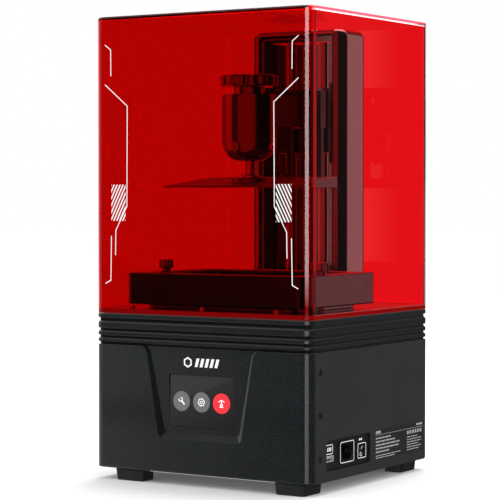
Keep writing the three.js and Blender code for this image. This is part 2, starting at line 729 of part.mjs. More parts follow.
function leadNut() {
  const cube = block(-7.3, 7.3, DRIVE_Y - 8.6, DRIVE_Y + 8.6, 312, 326.6);
  return cube.subtract(rod(SCREW_RADIUS + 0.2, 305, 330, 0, DRIVE_Y));
}

function linearBearing(x) {
  const shell = rod(8.5, 320, 381, x, DRIVE_Y);
  return shell.subtract(rod(ROD_RADIUS + 0.15, 310, 390, x, DRIVE_Y));
}

// Arm with its mounting flange, its two slotted tails and the socket head for the ball.
function platformArm() {
  const flange = block(-27, 27, 60, 69.7, 343, 380);
  const tails = [-1, 1].map((side) => {
    const x0 = side < 0 ? -27 : 6;
    const tail = slab(roundedShape(x0, x0 + 21, 289, 350, 3, 3), 'y', 61, 66);
    const slotShape = roundedShape(side * 15.5 - 4.8, side * 15.5 + 4.8, 294.5, 320.5, 4.79, 4);
    return tail.subtract(slab(slotShape, 'y', 55, 70));
  });
  const beam = block(-15, 15, HEAD_Y, 62, 343, 373);
  const head = turned([
    [0, 308.6], [11, 308.6], [17, 310.6], [22.5, 315.2], [25.8, 321.6], [HEAD_RADIUS, 328],
    [HEAD_RADIUS, HEAD_TOP - 2], [HEAD_RADIUS - 1.8, HEAD_TOP], [15, HEAD_TOP], [15, NECK_TOP], [0, NECK_TOP],
  ], [0, HEAD_Y, 0], 'z', 32);
  const ball = new THREE.SphereGeometry(BALL_RADIUS + 0.8, 16, 10);
  ball.rotateX(Math.PI / 2);
  ball.translate(0, HEAD_Y, BALL_Z);
  const mouth = turned([[0, 300], [10, 300], [8.2, 322], [0, 322]], [0, HEAD_Y, 0], 'z', 20);
  const spindle = rod(5.3, 362, 390, 0, HEAD_Y, 20);
  const clampHoles = ['x', '-x', 'y', '-y'].map((axis) => (
    turned([[0, 5], [2.8, 5], [2.8, 22], [5.4, 22], [5.4, 32], [0, 32]], [0, HEAD_Y, CLAMP_Z], axis, 16)
  ));
  const solid = union([flange, beam, head, ...tails]);
  return cut(solid, [body(ball), mouth, spindle, ...clampHoles]);
}

function clampScrew(axis) {
  const profile = [[0, 13], [2.4, 13], [2.4, 22.4], [4.9, 22.4], [4.9, 26.4], [4.2, 27.2], [0, 27.2]];
  const screw = turned(profile, [0, HEAD_Y, CLAMP_Z], axis, 14);
  const socket = turned([[0, 24.6], [2.4, 24.6], [2.4, 30], [0, 30]], [0, HEAD_Y, CLAMP_Z], axis, 6);
  return screw.subtract(socket);
}

add('carriage_block', carriageBlock(), blackMetal);
add('linear_bearing_left', linearBearing(-ROD_X), steel);
add('linear_bearing_right', linearBearing(ROD_X), steel);
add('lead_nut', leadNut(), brass);
add('platform_arm', platformArm(), blackMetal);
add('clamp_screw_front', clampScrew('-y'), steel);
add('clamp_screw_back', clampScrew('y'), steel);
add('clamp_screw_left', clampScrew('-x'), steel);
add('clamp_screw_right', clampScrew('x'), steel);

// ---------- platform ----------

function ballStud() {
  const profile = [[0, 292.2], [12, 292.2], [12, 294.4], [6.5, 295.6]];
  const arc = 8;
  const start = -Math.acos(6.5 / BALL_RADIUS);
  for (let i = 0; i <= arc; i += 1) {
    const angle = start + (Math.PI / 2 - start) * i / arc;
    profile.push([i === arc ? 0 : BALL_RADIUS * Math.cos(angle), BALL_Z + BALL_RADIUS * Math.sin(angle)]);
  }
  return turned(profile, [0, HEAD_Y, 0], 'z', 20);
}

// Plate with a roof that falls towards the front so that resin runs off.
function buildPlatform() {
  const profile = polygon([
    [PLATE_FRONT, PLATE_BOTTOM], [PLATE_BACK, PLATE_BOTTOM], [PLATE_BACK, 292.5],
    [PLATE_BACK - 0.8, 293.3], [PLATE_FRONT, 284.3],
  ]);
  const plate = slab(profile, 'x', -PLATE_HALF_X, PLATE_HALF_X);
  return plate.add(rod(17, 284, 292, 0, HEAD_Y, 28));
}

function platformKnob() {
  const flutes = 14;
  const outline = [];
  for (let i = 0; i < flutes * 6; i += 1) {
    const phase = i % 6;
    const radius = [28, 28, 28, 27, 25.6, 27][phase];
    const angle = i / (flutes * 6) * Math.PI * 2;
    outline.push([radius * Math.cos(angle), HEAD_Y + radius * Math.sin(angle)]);
  }
  const grip = slab(polygon(outline), 'z', KNOB_BOTTOM, KNOB_TOP);
  return grip.add(rod(5, 364, 382, 0, HEAD_Y, 20));
}

add('ball_stud', ballStud(), steel);
add('build_platform', buildPlatform(), aluminium);
add('platform_knob', platformKnob(), blackMetal);

// ---------- cover ----------

function cover() {
  const skin = [[0, 161.3], [0, HEIGHT - 3.5], [0.5, HEIGHT - 1.7], [1.7, HEIGHT - 0.5], [3.5, HEIGHT]];
  const outer = column(HALF_X, HALF_Y, CORNER_RADIUS, skin, 0, 0, 6);
  const inner = column(HALF_X - COVER_WALL, HALF_Y - COVER_WALL, CORNER_RADIUS - COVER_WALL,
    [[0, 160], [0, HEIGHT - COVER_WALL]], 0, 0, 6);
  return outer.subtract(inner);
}

add('cover', cover(), redAcrylic);

export default group;
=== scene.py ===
import json
import math

import bmesh
import bpy
from mathutils import Matrix, Vector

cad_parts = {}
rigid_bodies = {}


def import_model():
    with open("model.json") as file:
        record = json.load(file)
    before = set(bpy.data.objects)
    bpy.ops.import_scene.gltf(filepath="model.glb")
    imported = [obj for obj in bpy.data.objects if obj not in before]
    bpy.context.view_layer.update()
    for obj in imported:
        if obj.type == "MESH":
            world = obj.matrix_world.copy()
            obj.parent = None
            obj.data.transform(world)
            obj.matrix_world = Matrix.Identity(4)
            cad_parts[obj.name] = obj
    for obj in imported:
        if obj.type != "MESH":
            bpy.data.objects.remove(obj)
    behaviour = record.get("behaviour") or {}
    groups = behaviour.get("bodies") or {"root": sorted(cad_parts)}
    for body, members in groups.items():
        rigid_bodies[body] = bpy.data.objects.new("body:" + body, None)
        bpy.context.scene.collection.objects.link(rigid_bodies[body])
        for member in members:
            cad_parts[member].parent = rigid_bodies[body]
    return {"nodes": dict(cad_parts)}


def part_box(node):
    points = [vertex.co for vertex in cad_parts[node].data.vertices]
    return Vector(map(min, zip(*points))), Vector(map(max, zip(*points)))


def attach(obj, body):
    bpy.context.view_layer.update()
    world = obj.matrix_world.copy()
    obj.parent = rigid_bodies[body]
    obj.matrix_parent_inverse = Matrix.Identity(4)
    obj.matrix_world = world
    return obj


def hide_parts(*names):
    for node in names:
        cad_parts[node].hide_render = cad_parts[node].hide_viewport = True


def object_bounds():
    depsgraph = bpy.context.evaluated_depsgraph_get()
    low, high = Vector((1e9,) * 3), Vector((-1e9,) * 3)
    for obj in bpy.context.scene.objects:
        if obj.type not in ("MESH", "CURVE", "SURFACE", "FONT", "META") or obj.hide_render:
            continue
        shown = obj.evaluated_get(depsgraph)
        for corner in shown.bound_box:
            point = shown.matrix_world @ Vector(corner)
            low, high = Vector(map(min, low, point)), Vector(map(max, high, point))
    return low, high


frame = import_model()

CAD_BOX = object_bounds()
MM = 0.001
FULL_HEIGHT = ((0, 0), (0, 0.2))  # steps of a cutter taller than the base
NODES = frame["nodes"]


# ---------- places taken from the frame ----------

HALF_X, HALF_Y = CAD_BOX[1].x, CAD_BOX[1].y
CORNER = 10 * MM
ARM_Y = -26.5  # axis of the arm's head and its wheel, in millimetres
COVER_LO, COVER_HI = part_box("cover")
COLLAR_LO, COLLAR_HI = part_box("ribbed_collar")
SHELL_LO, SHELL_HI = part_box("front_shell")
SCREEN_LO, SCREEN_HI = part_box("touchscreen")
SCREEN_MID = (SCREEN_LO + SCREEN_HI) / 2
SCREEN_TILT = math.radians(1.4)
INLET_LO, INLET_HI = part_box("power_inlet")
USB_LO, USB_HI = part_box("usb_port")
SWITCH_LO, SWITCH_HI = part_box("switch_frame")
ROCKER_LO, ROCKER_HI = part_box("switch_rocker")
PORT_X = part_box("port_plate")[1].x
PANEL_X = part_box("side_panel_right")[1].x


# ---------- small tools ----------

def new_object(name, bm):
    mesh = bpy.data.meshes.new(name)
    bmesh.ops.recalc_face_normals(bm, faces=bm.faces)
    bm.to_mesh(mesh)
    bm.free()
    obj = bpy.data.objects.new(name, mesh)
    bpy.context.scene.collection.objects.link(obj)
    return obj


def place(obj, body, material, replaces=()):
    obj.data.materials.clear()
    obj.data.materials.append(material)
    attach(obj, body)
    if replaces:
        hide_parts(*replaces)
    return obj


def smooth(obj, angle):
    """Smooth shading, with edges sharper than the angle kept."""
    mesh = obj.data
    mesh.polygons.foreach_set("use_smooth", [True] * len(mesh.polygons))
    mesh.set_sharp_from_angle(angle=math.radians(angle))


def bevel(obj, width, segments, angle):
    mod = obj.modifiers.new("edge", "BEVEL")
    mod.width = width
    mod.segments = segments
    mod.limit_method = "ANGLE"
    mod.angle_limit = math.radians(angle)
    mod.harden_normals = True


def weigh_normals():
    """Large flat faces keep their true normals beside small rounded ones."""
    for obj in bpy.context.scene.objects:
        if obj.type != "MESH" or obj.name in NODES:
            continue
        if not any(face.use_smooth for face in obj.data.polygons):
            continue
        mod = obj.modifiers.new("weigh", "WEIGHTED_NORMAL")
        mod.mode = "FACE_AREA"
        mod.weight = 100
        mod.keep_sharp = True


def carve(obj, cutters, operation="DIFFERENCE"):
    """Cut the cutters away, or join them on, and drop them."""
    for cutter in cutters:
        mod = obj.modifiers.new("cut", "BOOLEAN")
        mod.operation = operation
        mod.solver = "EXACT"
        mod.object = cutter
    graph = bpy.context.evaluated_depsgraph_get()
    mesh = bpy.data.meshes.new_from_object(obj.evaluated_get(graph))
    obj.modifiers.clear()
    obj.data = mesh
    for cutter in cutters:
        bpy.data.objects.remove(cutter)


def circle(cx, cy, radius, steps):
    turns = [i / steps * 2 * math.pi for i in range(steps)]
    return [(cx + radius * math.cos(a), cy + radius * math.sin(a)) for a in turns]


def rounded_outline(half_x, half_y, radius, steps):
    """Rectangle about the origin with round corners."""
    points = []
    for corner, (sx, sy) in enumerate([(1, 1), (-1, 1), (-1, -1), (1, -1)]):
        for i in range(steps + 1):
            a = (corner + i / steps) * math.pi / 2
            x = sx * (half_x - radius) + radius * math.cos(a)
            y = sy * (half_y - radius) + radius * math.sin(a)
            points.append((x, y))
    return points


def loft_mesh(rings):
    """Closed solid through rings of equal count."""
    bm = bmesh.new()
    rows = [[bm.verts.new(p) for p in ring] for ring in rings]
    for low, high in zip(rows, rows[1:]):
        for i in range(len(low)):
            j = (i + 1) % len(low)
            bm.faces.new((low[i], low[j], high[j], high[i]))
    bm.faces.new(list(reversed(rows[0])))
    bm.faces.new(rows[-1])
    return bm


def column(name, half_x, half_y, radius, steps, centre=(0, 0), arc=16):
    """Upright rounded box. Each step is (inset, height)."""
    rings = []
    for inset, z in steps:
        r = max(radius - inset, 0.4 * MM)
        outline = rounded_outline(half_x - inset, half_y - inset, r, arc)
        rings.append([(x + centre[0], y + centre[1], z) for x, y in outline])
    return new_object(name, loft_mesh(rings))


def prism(name, outline, ys, dx=0.0, dz=0.0):
    """Solid whose x-z outline runs from one y to the other."""
    return new_object(name, loft_mesh([[(x + dx, y, z + dz) for x, z in outline] for y in ys]))


def block(name, xs, ys, zs):
    """Box between pairs of places in millimetres."""
    corners = ((xs[0], ys[0]), (xs[1], ys[0]), (xs[1], ys[1]), (xs[0], ys[1]))
    return new_object(name, loft_mesh([[(x * MM, y * MM, z * MM) for x, y in corners] for z in zs]))


def rounded_top(inset, top, fillet, count, first=1):
    """Steps that turn a wall over into its lid along a quarter circle."""
    turns = [i / count * math.pi / 2 for i in range(first, count + 1)]
    return [(inset + fillet * (1 - math.cos(a)), top - fillet * (1 - math.sin(a))) for a in turns]


def base_skin(bottom, top):
    """Steps of a lower body panel, with a soft edge at the foot and a fine one at the top."""
    return [(1.2 * MM, bottom), (0.3 * MM, bottom + 0.5 * MM), (0, bottom + 1.5 * MM),
            (0, top - 0.5 * MM), (0.4 * MM, top)]


def fluted(name, centre, low, steps, radius, flutes, per, depth, sharpness):
    """Finger wheel. Each step is (inset, rise, share of the flute depth), in millimetres."""
    rings = []
    for inset, rise, share in steps:
        outline = []
        for i in range(flutes * per):
            a = i / (flutes * per) * 2 * math.pi
            dip = share * depth * (0.5 - 0.5 * math.cos(a * flutes)) ** sharpness
            r = (radius - inset - dip) * MM
            outline.append((centre[0] + r * math.cos(a), centre[1] + r * math.sin(a), low + rise * MM))
        rings.append(outline)
    return new_object(name, loft_mesh(rings))


def refine(node, body, material, width):
    """A fresh copy of a CAD node with welded, softened edges that stands for it."""
    bm = bmesh.new()
    bm.from_mesh(NODES[node].data)
    bmesh.ops.remove_doubles(bm, verts=bm.verts, dist=1e-5)
    flat = math.radians(0.6)
    bmesh.ops.dissolve_limit(bm, angle_limit=flat, verts=bm.verts, edges=bm.edges)
    obj = new_object(node + "_look", bm)
    place(obj, body, material, (node,))
    smooth(obj, 35)
    if width:
        bevel(obj, width, 2, 35)
    return obj


def turned(name, profile, centre, segments, axis="z"):
    """Solid of revolution from (radius, height) pairs that start and end on the axis."""
    bm = bmesh.new()
    rows = []
    for r, h in profile:
        points = circle(0, 0, r, segments) if r > 1e-7 else [(0, 0)]
        rows.append([bm.verts.new((x, y, h)) for x, y in points])
    for low, high in zip(rows, rows[1:]):
        for i in range(segments):
            j = (i + 1) % segments
            if len(low) == 1:
                bm.faces.new((low[0], high[j], high[i]))
            elif len(high) == 1:
                bm.faces.new((low[i], low[j], high[0]))
            else:
                bm.faces.new((low[i], low[j], high[j], high[i]))
    turn = {
        "z": Matrix.Identity(4),
        "x": Matrix.Rotation(math.pi / 2, 4, "Y"),
        "-x": Matrix.Rotation(-math.pi / 2, 4, "Y"),
        "y": Matrix.Rotation(-math.pi / 2, 4, "X"),
        "-y": Matrix.Rotation(math.pi / 2, 4, "X"),
    }[axis]
    bmesh.ops.transform(bm, matrix=Matrix.Translation(centre) @ turn, verts=bm.verts)
    return new_object(name, bm)


# ---------- flat marks ----------

def stroke(points, width, closed=False):
    """A line of constant width with mitred corners, as quads."""
    count = len(points)
    left, right = [], []
    for i, p in enumerate(points):
        before = points[i - 1] if (i > 0 or closed) else None
        after = points[(i + 1) % count] if (i < count - 1 or closed) else None
        here = Vector(p)
        d1 = (here - Vector(before)).normalized() if before else None
        d2 = (Vector(after) - here).normalized() if after else None
        n1 = Vector((-d1.y, d1.x)) if d1 else None
        n2 = Vector((-d2.y, d2.x)) if d2 else None
        if n1 and n2:
            mitre = (n1 + n2).normalized()
            reach = width / 2 / max(mitre.dot(n1), 0.3)
        else:
            mitre = n1 or n2
            reach = width / 2
        left.append(here + mitre * reach)
        right.append(here - mitre * reach)
    verts = left + right
    spans = count if closed else count - 1
    faces = [(i, (i + 1) % count, count + (i + 1) % count, count + i) for i in range(spans)]
    return verts, faces


def disc(cx, cy, radius):
    steps = 48
    verts = [Vector((cx, cy))] + [Vector(p) for p in circle(cx, cy, radius, steps)]
    faces = [(0, 1 + i, 1 + (i + 1) % steps) for i in range(steps)]
    return verts, faces


def ring(cx, cy, radius, width):
    return stroke(circle(cx, cy, radius, 36), width, True)


def bar(cx, cy, width, height, slant=0.0):
    """Upright parallelogram; slant moves its top sideways."""
    w, h = width / 2, height / 2
    corners = [(-w - slant / 2, -h), (w - slant / 2, -h), (w + slant / 2, h), (-w + slant / 2, h)]
    return [Vector((cx + x, cy + y)) for x, y in corners], [(0, 1, 2, 3)]


def rounded_loop(cx, cy, width, height, radius):
    return [(x + cx, y + cy) for x, y in rounded_outline(width / 2, height / 2, radius, 5)]


def marks(name, shapes, frame_matrix, thickness=0.06 * MM):
    """Thin raised print. Shapes lie in the local x-y plane and rise along local z."""
    bm = bmesh.new()
    for verts, faces in shapes:
        low = [bm.verts.new((v.x, v.y, 0)) for v in verts]
        high = [bm.verts.new((v.x, v.y, thickness)) for v in verts]
        edges = {}
        for face in faces:
            bm.faces.new([high[i] for i in face])
            bm.faces.new([low[i] for i in reversed(face)])
            for a, b in zip(face, face[1:] + face[:1]):
                edges[(a, b)] = edges.get((a, b), 0) + 1
        for a, b in edges:
            if (b, a) not in edges:
                bm.faces.new((low[a], low[b], high[b], high[a]))
    bmesh.ops.transform(bm, matrix=frame_matrix, verts=bm.verts)
    return new_object(name, bm)


def facing_front(x, y, z, tilt=0.0):
    """Local x to the right, local y up, local z towards the front."""
    turn = Matrix.Rotation(math.pi / 2 - tilt, 4, "X")
    return Matrix.Translation((x, y, z)) @ turn


def facing_right(x, y, z):
    """Local x towards the back, local y up, local z to the right."""
    basis = Matrix(((0, 0, 1, 0), (1, 0, 0, 0), (0, 1, 0, 0), (0, 0, 0, 1)))
    return Matrix.Translation((x, y, z)) @ basis


# ---------- materials ----------

class Tree:
    """Short way to write a node tree."""

    def __init__(self, tree):
        self.tree = tree

    def add(self, kind, **values):
        node = self.tree.nodes.new(kind)
        for key, value in values.items():
            setattr(node, key, value)
        return node

    def link(self, a, b):
        self.tree.links.new(a, b)

    def math(self, operation, a, b=None):
        node = self.add("ShaderNodeMath", operation=operation)
        for i, value in enumerate((a, b)):
            if value is None:
                continue
            if isinstance(value, (int, float)):
                node.inputs[i].default_value = value
            else:
                self.link(value, node.inputs[i])
        return node.outputs[0]

    def parts(self, vector):
        split = self.add("ShaderNodeSeparateXYZ")
        self.link(vector, split.inputs[0])
        return split.outputs[0], split.outputs[1], split.outputs[2]

    def axes(self, output):
        """The three parts of a texture coordinate."""
        return self.parts(self.add("ShaderNodeTexCoord").outputs[output])

    def vector(self, operation, a, b):
        """Vector sum, or a vector scaled by a number."""
        node = self.add("ShaderNodeVectorMath", operation=operation)
        self.link(a, node.inputs[0])
        self.link(b, node.inputs["Scale" if operation == "SCALE" else 1])
        return node.outputs[0]

    def mix(self, factor, color_a, color_b):
        node = self.add("ShaderNodeMix", data_type="RGBA")
        for socket, value in ((6, color_a), (7, color_b)):
            if isinstance(value, tuple):
                node.inputs[socket].default_value = (*value, 1)
            else:
                self.link(value, node.inputs[socket])
        self.link(factor, node.inputs[0])
        return node.outputs[2]


class Nodes(Tree):
    """The tree of a new Principled material."""

    def __init__(self, name):
        self.material = bpy.data.materials.new(name)
        self.material.use_nodes = True
        super().__init__(self.material.node_tree)
        self.bsdf = self.tree.nodes["Principled BSDF"]

    def put(self, name, value):
        """Set one of the shader's own sockets, or feed it."""
        if isinstance(value, (int, float)):
            self.bsdf.inputs[name].default_value = value
        else:
            self.link(value, self.bsdf.inputs[name])

    def ramp(self, source, low, high, out_low, out_high):
        node = self.add("ShaderNodeMapRange")
        values = {"From Min": low, "From Max": high, "To Min": out_low, "To Max": out_high}
        for key, value in values.items():
            node.inputs[key].default_value = value
        self.link(source, node.inputs["Value"])
        return node.outputs["Result"]

    def noise(self, scale, detail, stretch=(1, 1, 1)):
        coords = self.add("ShaderNodeTexCoord")
        mapping = self.add("ShaderNodeMapping")
        mapping.inputs["Scale"].default_value = stretch
        self.link(coords.outputs["Object"], mapping.inputs["Vector"])
        node = self.add("ShaderNodeTexNoise")
        node.inputs["Scale"].default_value = scale
        node.inputs["Detail"].default_value = detail
        self.link(mapping.outputs["Vector"], node.inputs["Vector"])
        return node.outputs["Fac"]

    def bump(self, height, strength, distance):
        node = self.add("ShaderNodeBump")
        node.inputs["Strength"].default_value = strength
        node.inputs["Distance"].default_value = distance
        self.link(height, node.inputs["Height"])
        self.link(node.outputs["Normal"], self.bsdf.inputs["Normal"])


def finish(name, color, roughness, metallic=0.0, grain=2500, depth=0.02, vary=0.12,
           stretch=(1, 1, 1), coat=0.0, ior=1.5):
    """Painted, moulded or machined surface: fine grain in the bump, soft patches in the
    roughness and a slight change of tone."""
    m = Nodes(name)
    fine = m.noise(grain, 4, stretch)
    broad = m.noise(35, 3)
    dark = tuple(c * 0.85 for c in color)
    m.put("Base Color", m.mix(m.ramp(broad, 0.3, 0.7, 0, 1), dark, color))
    rough = m.math("ADD", m.ramp(broad, 0.25, 0.75, roughness - vary / 2, roughness + vary / 2),
                   m.ramp(fine, 0.3, 0.7, -0.03, 0.03))
    m.put("Roughness", rough)
    m.put("Metallic", metallic)
    m.put("IOR", ior)
    m.put("Coat Weight", coat)
    m.put("Coat Roughness", 0.12)
    m.bump(fine, 0.35, depth * MM)
    return m.material


def woven():
    """Fine dark weave under a clear coat, plain along the bottom lip. Its run is measured on
    the UV map in metres."""
    pitch, thread, lip = 2.9 * MM, 0.55 * MM, SHELL_LO.z + 2.4 * MM
    m = Nodes("woven_fibre")
    u, v, _ = m.parts(m.add("ShaderNodeUVMap", uv_map="run").outputs["UV"])

    def wave(value, length):
        return m.math("COSINE", m.math("MULTIPLY", value, 2 * math.pi / length))

    checks = m.math("MULTIPLY", wave(u, pitch), wave(v, pitch))
    knot = m.ramp(checks, -0.05, 0.8, 0, 1)
    fibres = m.math("ADD", m.math("MULTIPLY", wave(m.math("ADD", u, v), thread), 0.12), 0.88)
    on_lip = m.math("LESS_THAN", v, lip)
    height = m.math("MULTIPLY", knot, fibres)
    height = m.math("MAXIMUM", height, m.math("MULTIPLY", on_lip, 0.3))
    broad = m.noise(30, 2)
    shade = m.math("MULTIPLY", height, m.ramp(broad, 0.3, 0.7, 0.85, 1.0))
    m.put("Base Color", m.mix(shade, (0.0007, 0.0009, 0.0011), (0.036, 0.045, 0.050)))
    m.put("Roughness", m.ramp(height, 0, 1, 0.55, 0.3))
    m.put("Specular IOR Level", 0.12)
    m.put("Coat Weight", 1.0)
    m.put("Coat Roughness", 0.06)
    m.bump(height, 0.4, 0.12 * MM)
    return m.material


def red_acrylic():
    """Clear red moulding: deeper red in the front wall as painted shade, paler and greyer in the
    right one as a painted reflection of the room, full red elsewhere, and almost solid along the
    bottom lip."""
    m = Nodes("red_acrylic")
    x, y, z = m.axes("Object")
    # Painted light: the front wall's deeper red stands for shade, the right wall's paler grey-red for a
    # reflection of the room.
    past_shaded_front = m.ramp(y, -HALF_Y + 4 * MM, -HALF_Y + 11 * MM, 0, 1)
    right_painted_veil = m.ramp(x, HALF_X - 7 * MM, HALF_X - 4 * MM, 0, 1)
    below_rim = m.ramp(z, COVER_HI.z - 3.6 * MM, COVER_HI.z - 2.4 * MM, 1, 0)
    right_painted_veil = m.math("MULTIPLY", right_painted_veil, below_rim)
    drift = m.ramp(m.noise(6, 2), 0.3, 0.7, 0.985, 1.0)
    tone = m.mix(right_painted_veil, (0.99, 0.006, 0.019), (0.99, 0.30, 0.31))
    tone = m.mix(past_shaded_front, (0.515, 0.0, 0.0), tone)
    on_lip = m.ramp(z, COVER_LO.z + 4.2 * MM, COVER_LO.z + 4.7 * MM, 1, 0)
    tone = m.mix(on_lip, tone, (0.205, 0.001, 0.001))
    m.put("Base Color", m.vector("SCALE", tone, drift))
    m.put("Transmission Weight", m.ramp(on_lip, 0, 1, 1.0, 0.15))
    m.put("IOR", 1.45)
    m.put("Roughness", m.ramp(m.noise(400, 2), 0.4, 0.7, 0.0, 0.012))
    return m.material


def clear_glass(name, color, roughness=0.02):
    """Nearly colourless pane."""
    m = Nodes(name)
    tone = m.mix(m.ramp(m.noise(40, 2), 0.3, 0.7, 0, 1), color, tuple(c * 0.94 for c in color))
    m.put("Base Color", tone)
    m.put("Transmission Weight", 0.9)
    m.put("IOR", 1.45)
    m.put("Roughness", m.ramp(m.noise(600, 2), 0.3, 0.7, roughness, roughness + 0.03))
    return m.material


def screen_glass():
    """Lit panel behind glass: a soft gradient, lighter towards the top left, and a paler corner there
    that is a painted sheen off the glass.
    """
    m = Nodes("screen_panel_painted_sheen")
    x, _, z = m.axes("Generated")
    slope = m.math("SUBTRACT", m.math("MULTIPLY", z, 0.8), m.math("MULTIPLY", x, 0.35))
    # Painted reflection: the paler top-left corner stands for sheen off the glass.
    painted_sheen = m.math("GREATER_THAN", m.math("SUBTRACT", z, m.math("MULTIPLY", x, 0.55)), 0.42)
    tone = m.mix(m.ramp(slope, -0.35, 0.8, 0, 1), (0.009, 0.009, 0.009), (0.026, 0.026, 0.026))
    tone = m.mix(m.math("MULTIPLY", painted_sheen, 0.12), tone, (0.08, 0.08, 0.08))
    m.put("Base Color", tone)
    m.put("Roughness", m.ramp(m.noise(300, 2), 0.3, 0.7, 0.1, 0.14))
    m.put("Emission Color", tone)
    m.put("Emission Strength", 0.4)
    return m.material


def printed(name, color, glow=0.0):
    """Matt ink with a slight mottle."""
    m = Nodes(name)
    tone = m.mix(m.ramp(m.noise(900, 3), 0.3, 0.7, 0, 1), tuple(c * 0.93 for c in color), color)
    m.put("Base Color", tone)
    m.put("Roughness", m.ramp(m.noise(1500, 2), 0.3, 0.7, 0.4, 0.5))
    # A glow is the screen's own light on its keys, and painted light on white print.
    if glow:
        m.put("Emission Color", tone)
        m.put("Emission Strength", glow)
    return m.material


CHARCOAL = finish("charcoal_powder_coat", (0.0195, 0.0212, 0.0208), 0.5, depth=0.03, vary=0.06)
MOULDING = finish("charcoal_moulding", (0.0072, 0.009, 0.0098), 0.34, depth=0.015, vary=0.08)
BLACK_PAINT = finish("black_paint", (0.006, 0.0065, 0.0065), 0.5, depth=0.02)
TOWER_PAINT = finish("tower_paint", (0.003, 0.0031, 0.0032), 0.09, depth=0.004, vary=0.05, coat=1.0,
                     ior=1.9)
BLACK_CAST = finish("black_anodised_cast", (0.22, 0.22, 0.225), 0.16, 1.0, depth=0.006, vary=0.06)
VAT_BLACK = finish("vat_anodised", (0.006, 0.006, 0.0065), 0.24, depth=0.008, coat=0.15)
MATTE_BLACK = finish("matte_black", (0.003, 0.003, 0.0032), 0.7, depth=0.02, ior=1.25)
CARRIAGE_BLACK = finish("carriage_anodised", (0.004, 0.004, 0.0043), 0.36, depth=0.015, ior=1.4)
DECK_ENAMEL = finish("deck_enamel", (0.004, 0.0042, 0.0044), 0.14, depth=0.004, vary=0.06, coat=0.6)
ROD_STEEL = finish("ground_steel", (0.26, 0.26, 0.27), 0.14, 1.0, depth=0.002, vary=0.05)
BLASTED = finish("blasted_aluminium", (0.55, 0.56, 0.57), 0.42, 1.0, grain=4000, depth=0.03)
PLATE_DARK = finish("blasted_platform", (0.20, 0.20, 0.205), 0.45, 1.0, grain=4000, depth=0.03)
PORT_METAL = finish("port_metal", (0.5, 0.5, 0.5), 0.35, 0.1, depth=0.004)
SHELL_TRIM = finish("shell_trim", (0.0105, 0.0125, 0.0132), 0.34, depth=0.012, ior=1.3)
# Copies of the trim for the recess flanks: a darker one on the left as painted shade, a lighter one on
# the right as painted light.
RECESS_SHADE = finish("recess_shade", (0.006, 0.0075, 0.008), 0.55, depth=0.012, ior=1.12)
RECESS_PAINTED_LIGHT = finish("recess_painted_light", (0.055, 0.062, 0.064), 0.34, depth=0.012, coat=0.4)
INLET_BLACK = finish("inlet_black", (0.004, 0.004, 0.0042), 0.5, depth=0.01)
STEEL = finish("brushed_steel", (0.60, 0.60, 0.61), 0.28, 1.0, grain=900, depth=0.01,
               stretch=(1, 1, 12))
DARK_STEEL = finish("blued_steel", (0.17, 0.17, 0.175), 0.3, 1.0, depth=0.01)
CHROME = finish("polished_steel", (0.78, 0.78, 0.80), 0.09, 1.0, depth=0.002, vary=0.04)
PLASTIC = finish("black_plastic", (0.006, 0.006, 0.0065), 0.42, depth=0.02)
RUBBER = finish("foot_rubber", (0.007, 0.008, 0.0085), 0.62, depth=0.05, grain=1800)
BOARD = finish("solder_mask", (0.01, 0.09, 0.04), 0.4, depth=0.02)
BRASS = finish("machined_brass", (0.55, 0.38, 0.14), 0.3, 1.0, depth=0.01)
WOVEN = woven()
ACRYLIC = red_acrylic()
GLASS = clear_glass("window_glass", (0.85, 0.88, 0.9))
FILM = clear_glass("release_film", (0.9, 0.92, 0.93), 0.08)
SCREEN = screen_glass()
# White print with a faint glow: painted light, since the print is no lamp.
WHITE_INK_PAINTED_GLOW = printed("glowing_white_ink", (0.9, 0.9, 0.9), 0.1)
GREY_INK = printed("grey_ink", (0.30, 0.31, 0.31))
LABEL_INK = printed("label_ground", (0.011, 0.0115, 0.0115))
KEY_GREY = printed("key_grey", (0.16, 0.15, 0.155), 0.15)
KEY_RED = printed("key_red", (0.95, 0.012, 0.03), 0.35)
KEY_WHITE = printed("key_white", (0.85, 0.85, 0.85), 0.35)


# ---------- cover ----------

COVER_FILLET = 2.4 * MM
COVER_INNER_FILLET = 1 * MM
FRAME_LINES = (
    ((109, 381.8), (82.6, 360.6), (83.2, 264.6), (96.4, 241.5), (96.8, 217.5)),
    ((109, 420), (102.2, 415), (102, 390)),
    ((101.6, 236), (102.4, 193.2), (108.8, 190)),
)


def make_cover():
    """Open-bottomed box with thin walls. It casts no shadow, so what is inside stays lit."""
    wall = 3.5 * MM
    skin = 0.08 * MM
    top = COVER_HI.z
    steps = [(skin + 0.4 * MM, COVER_LO.z), (skin, COVER_LO.z + 0.5 * MM), (skin, top - COVER_FILLET)]
    steps += rounded_top(skin, top, COVER_FILLET, 6)
    outer = column("cover_shell", HALF_X, HALF_Y, CORNER, steps)
    steps = [(0, COVER_LO.z - 5 * MM), (0, top - wall - COVER_INNER_FILLET)]
    steps += rounded_top(0, top - wall, COVER_INNER_FILLET, 4)
    inner = column("cover_hollow", HALF_X - wall, HALF_Y - wall, CORNER - wall, steps)
    carve(outer, [inner])
    smooth(outer, 40)
    place(outer, "cover", ACRYLIC, ("cover",))
    outer.visible_shadow = False
    outer.visible_diffuse = False
    outer.visible_glossy = False


def cover_marks():
    """Thin frame lines and slanted bars, mirrored left and right."""
    width = 0.9 * MM
    shapes = []
    for side in (-1, 1):
        for line in FRAME_LINES:
            shapes.append(stroke([(side * x * MM, z * MM) for x, z in line], width))
        shapes.extend(hatch(side * 93.2 * MM, 268 * MM, side))
    obj = marks("cover_frame_lines", shapes, facing_front(0, -HALF_Y + 0.075 * MM, 0))
    place(obj, "cover", WHITE_INK_PAINTED_GLOW)


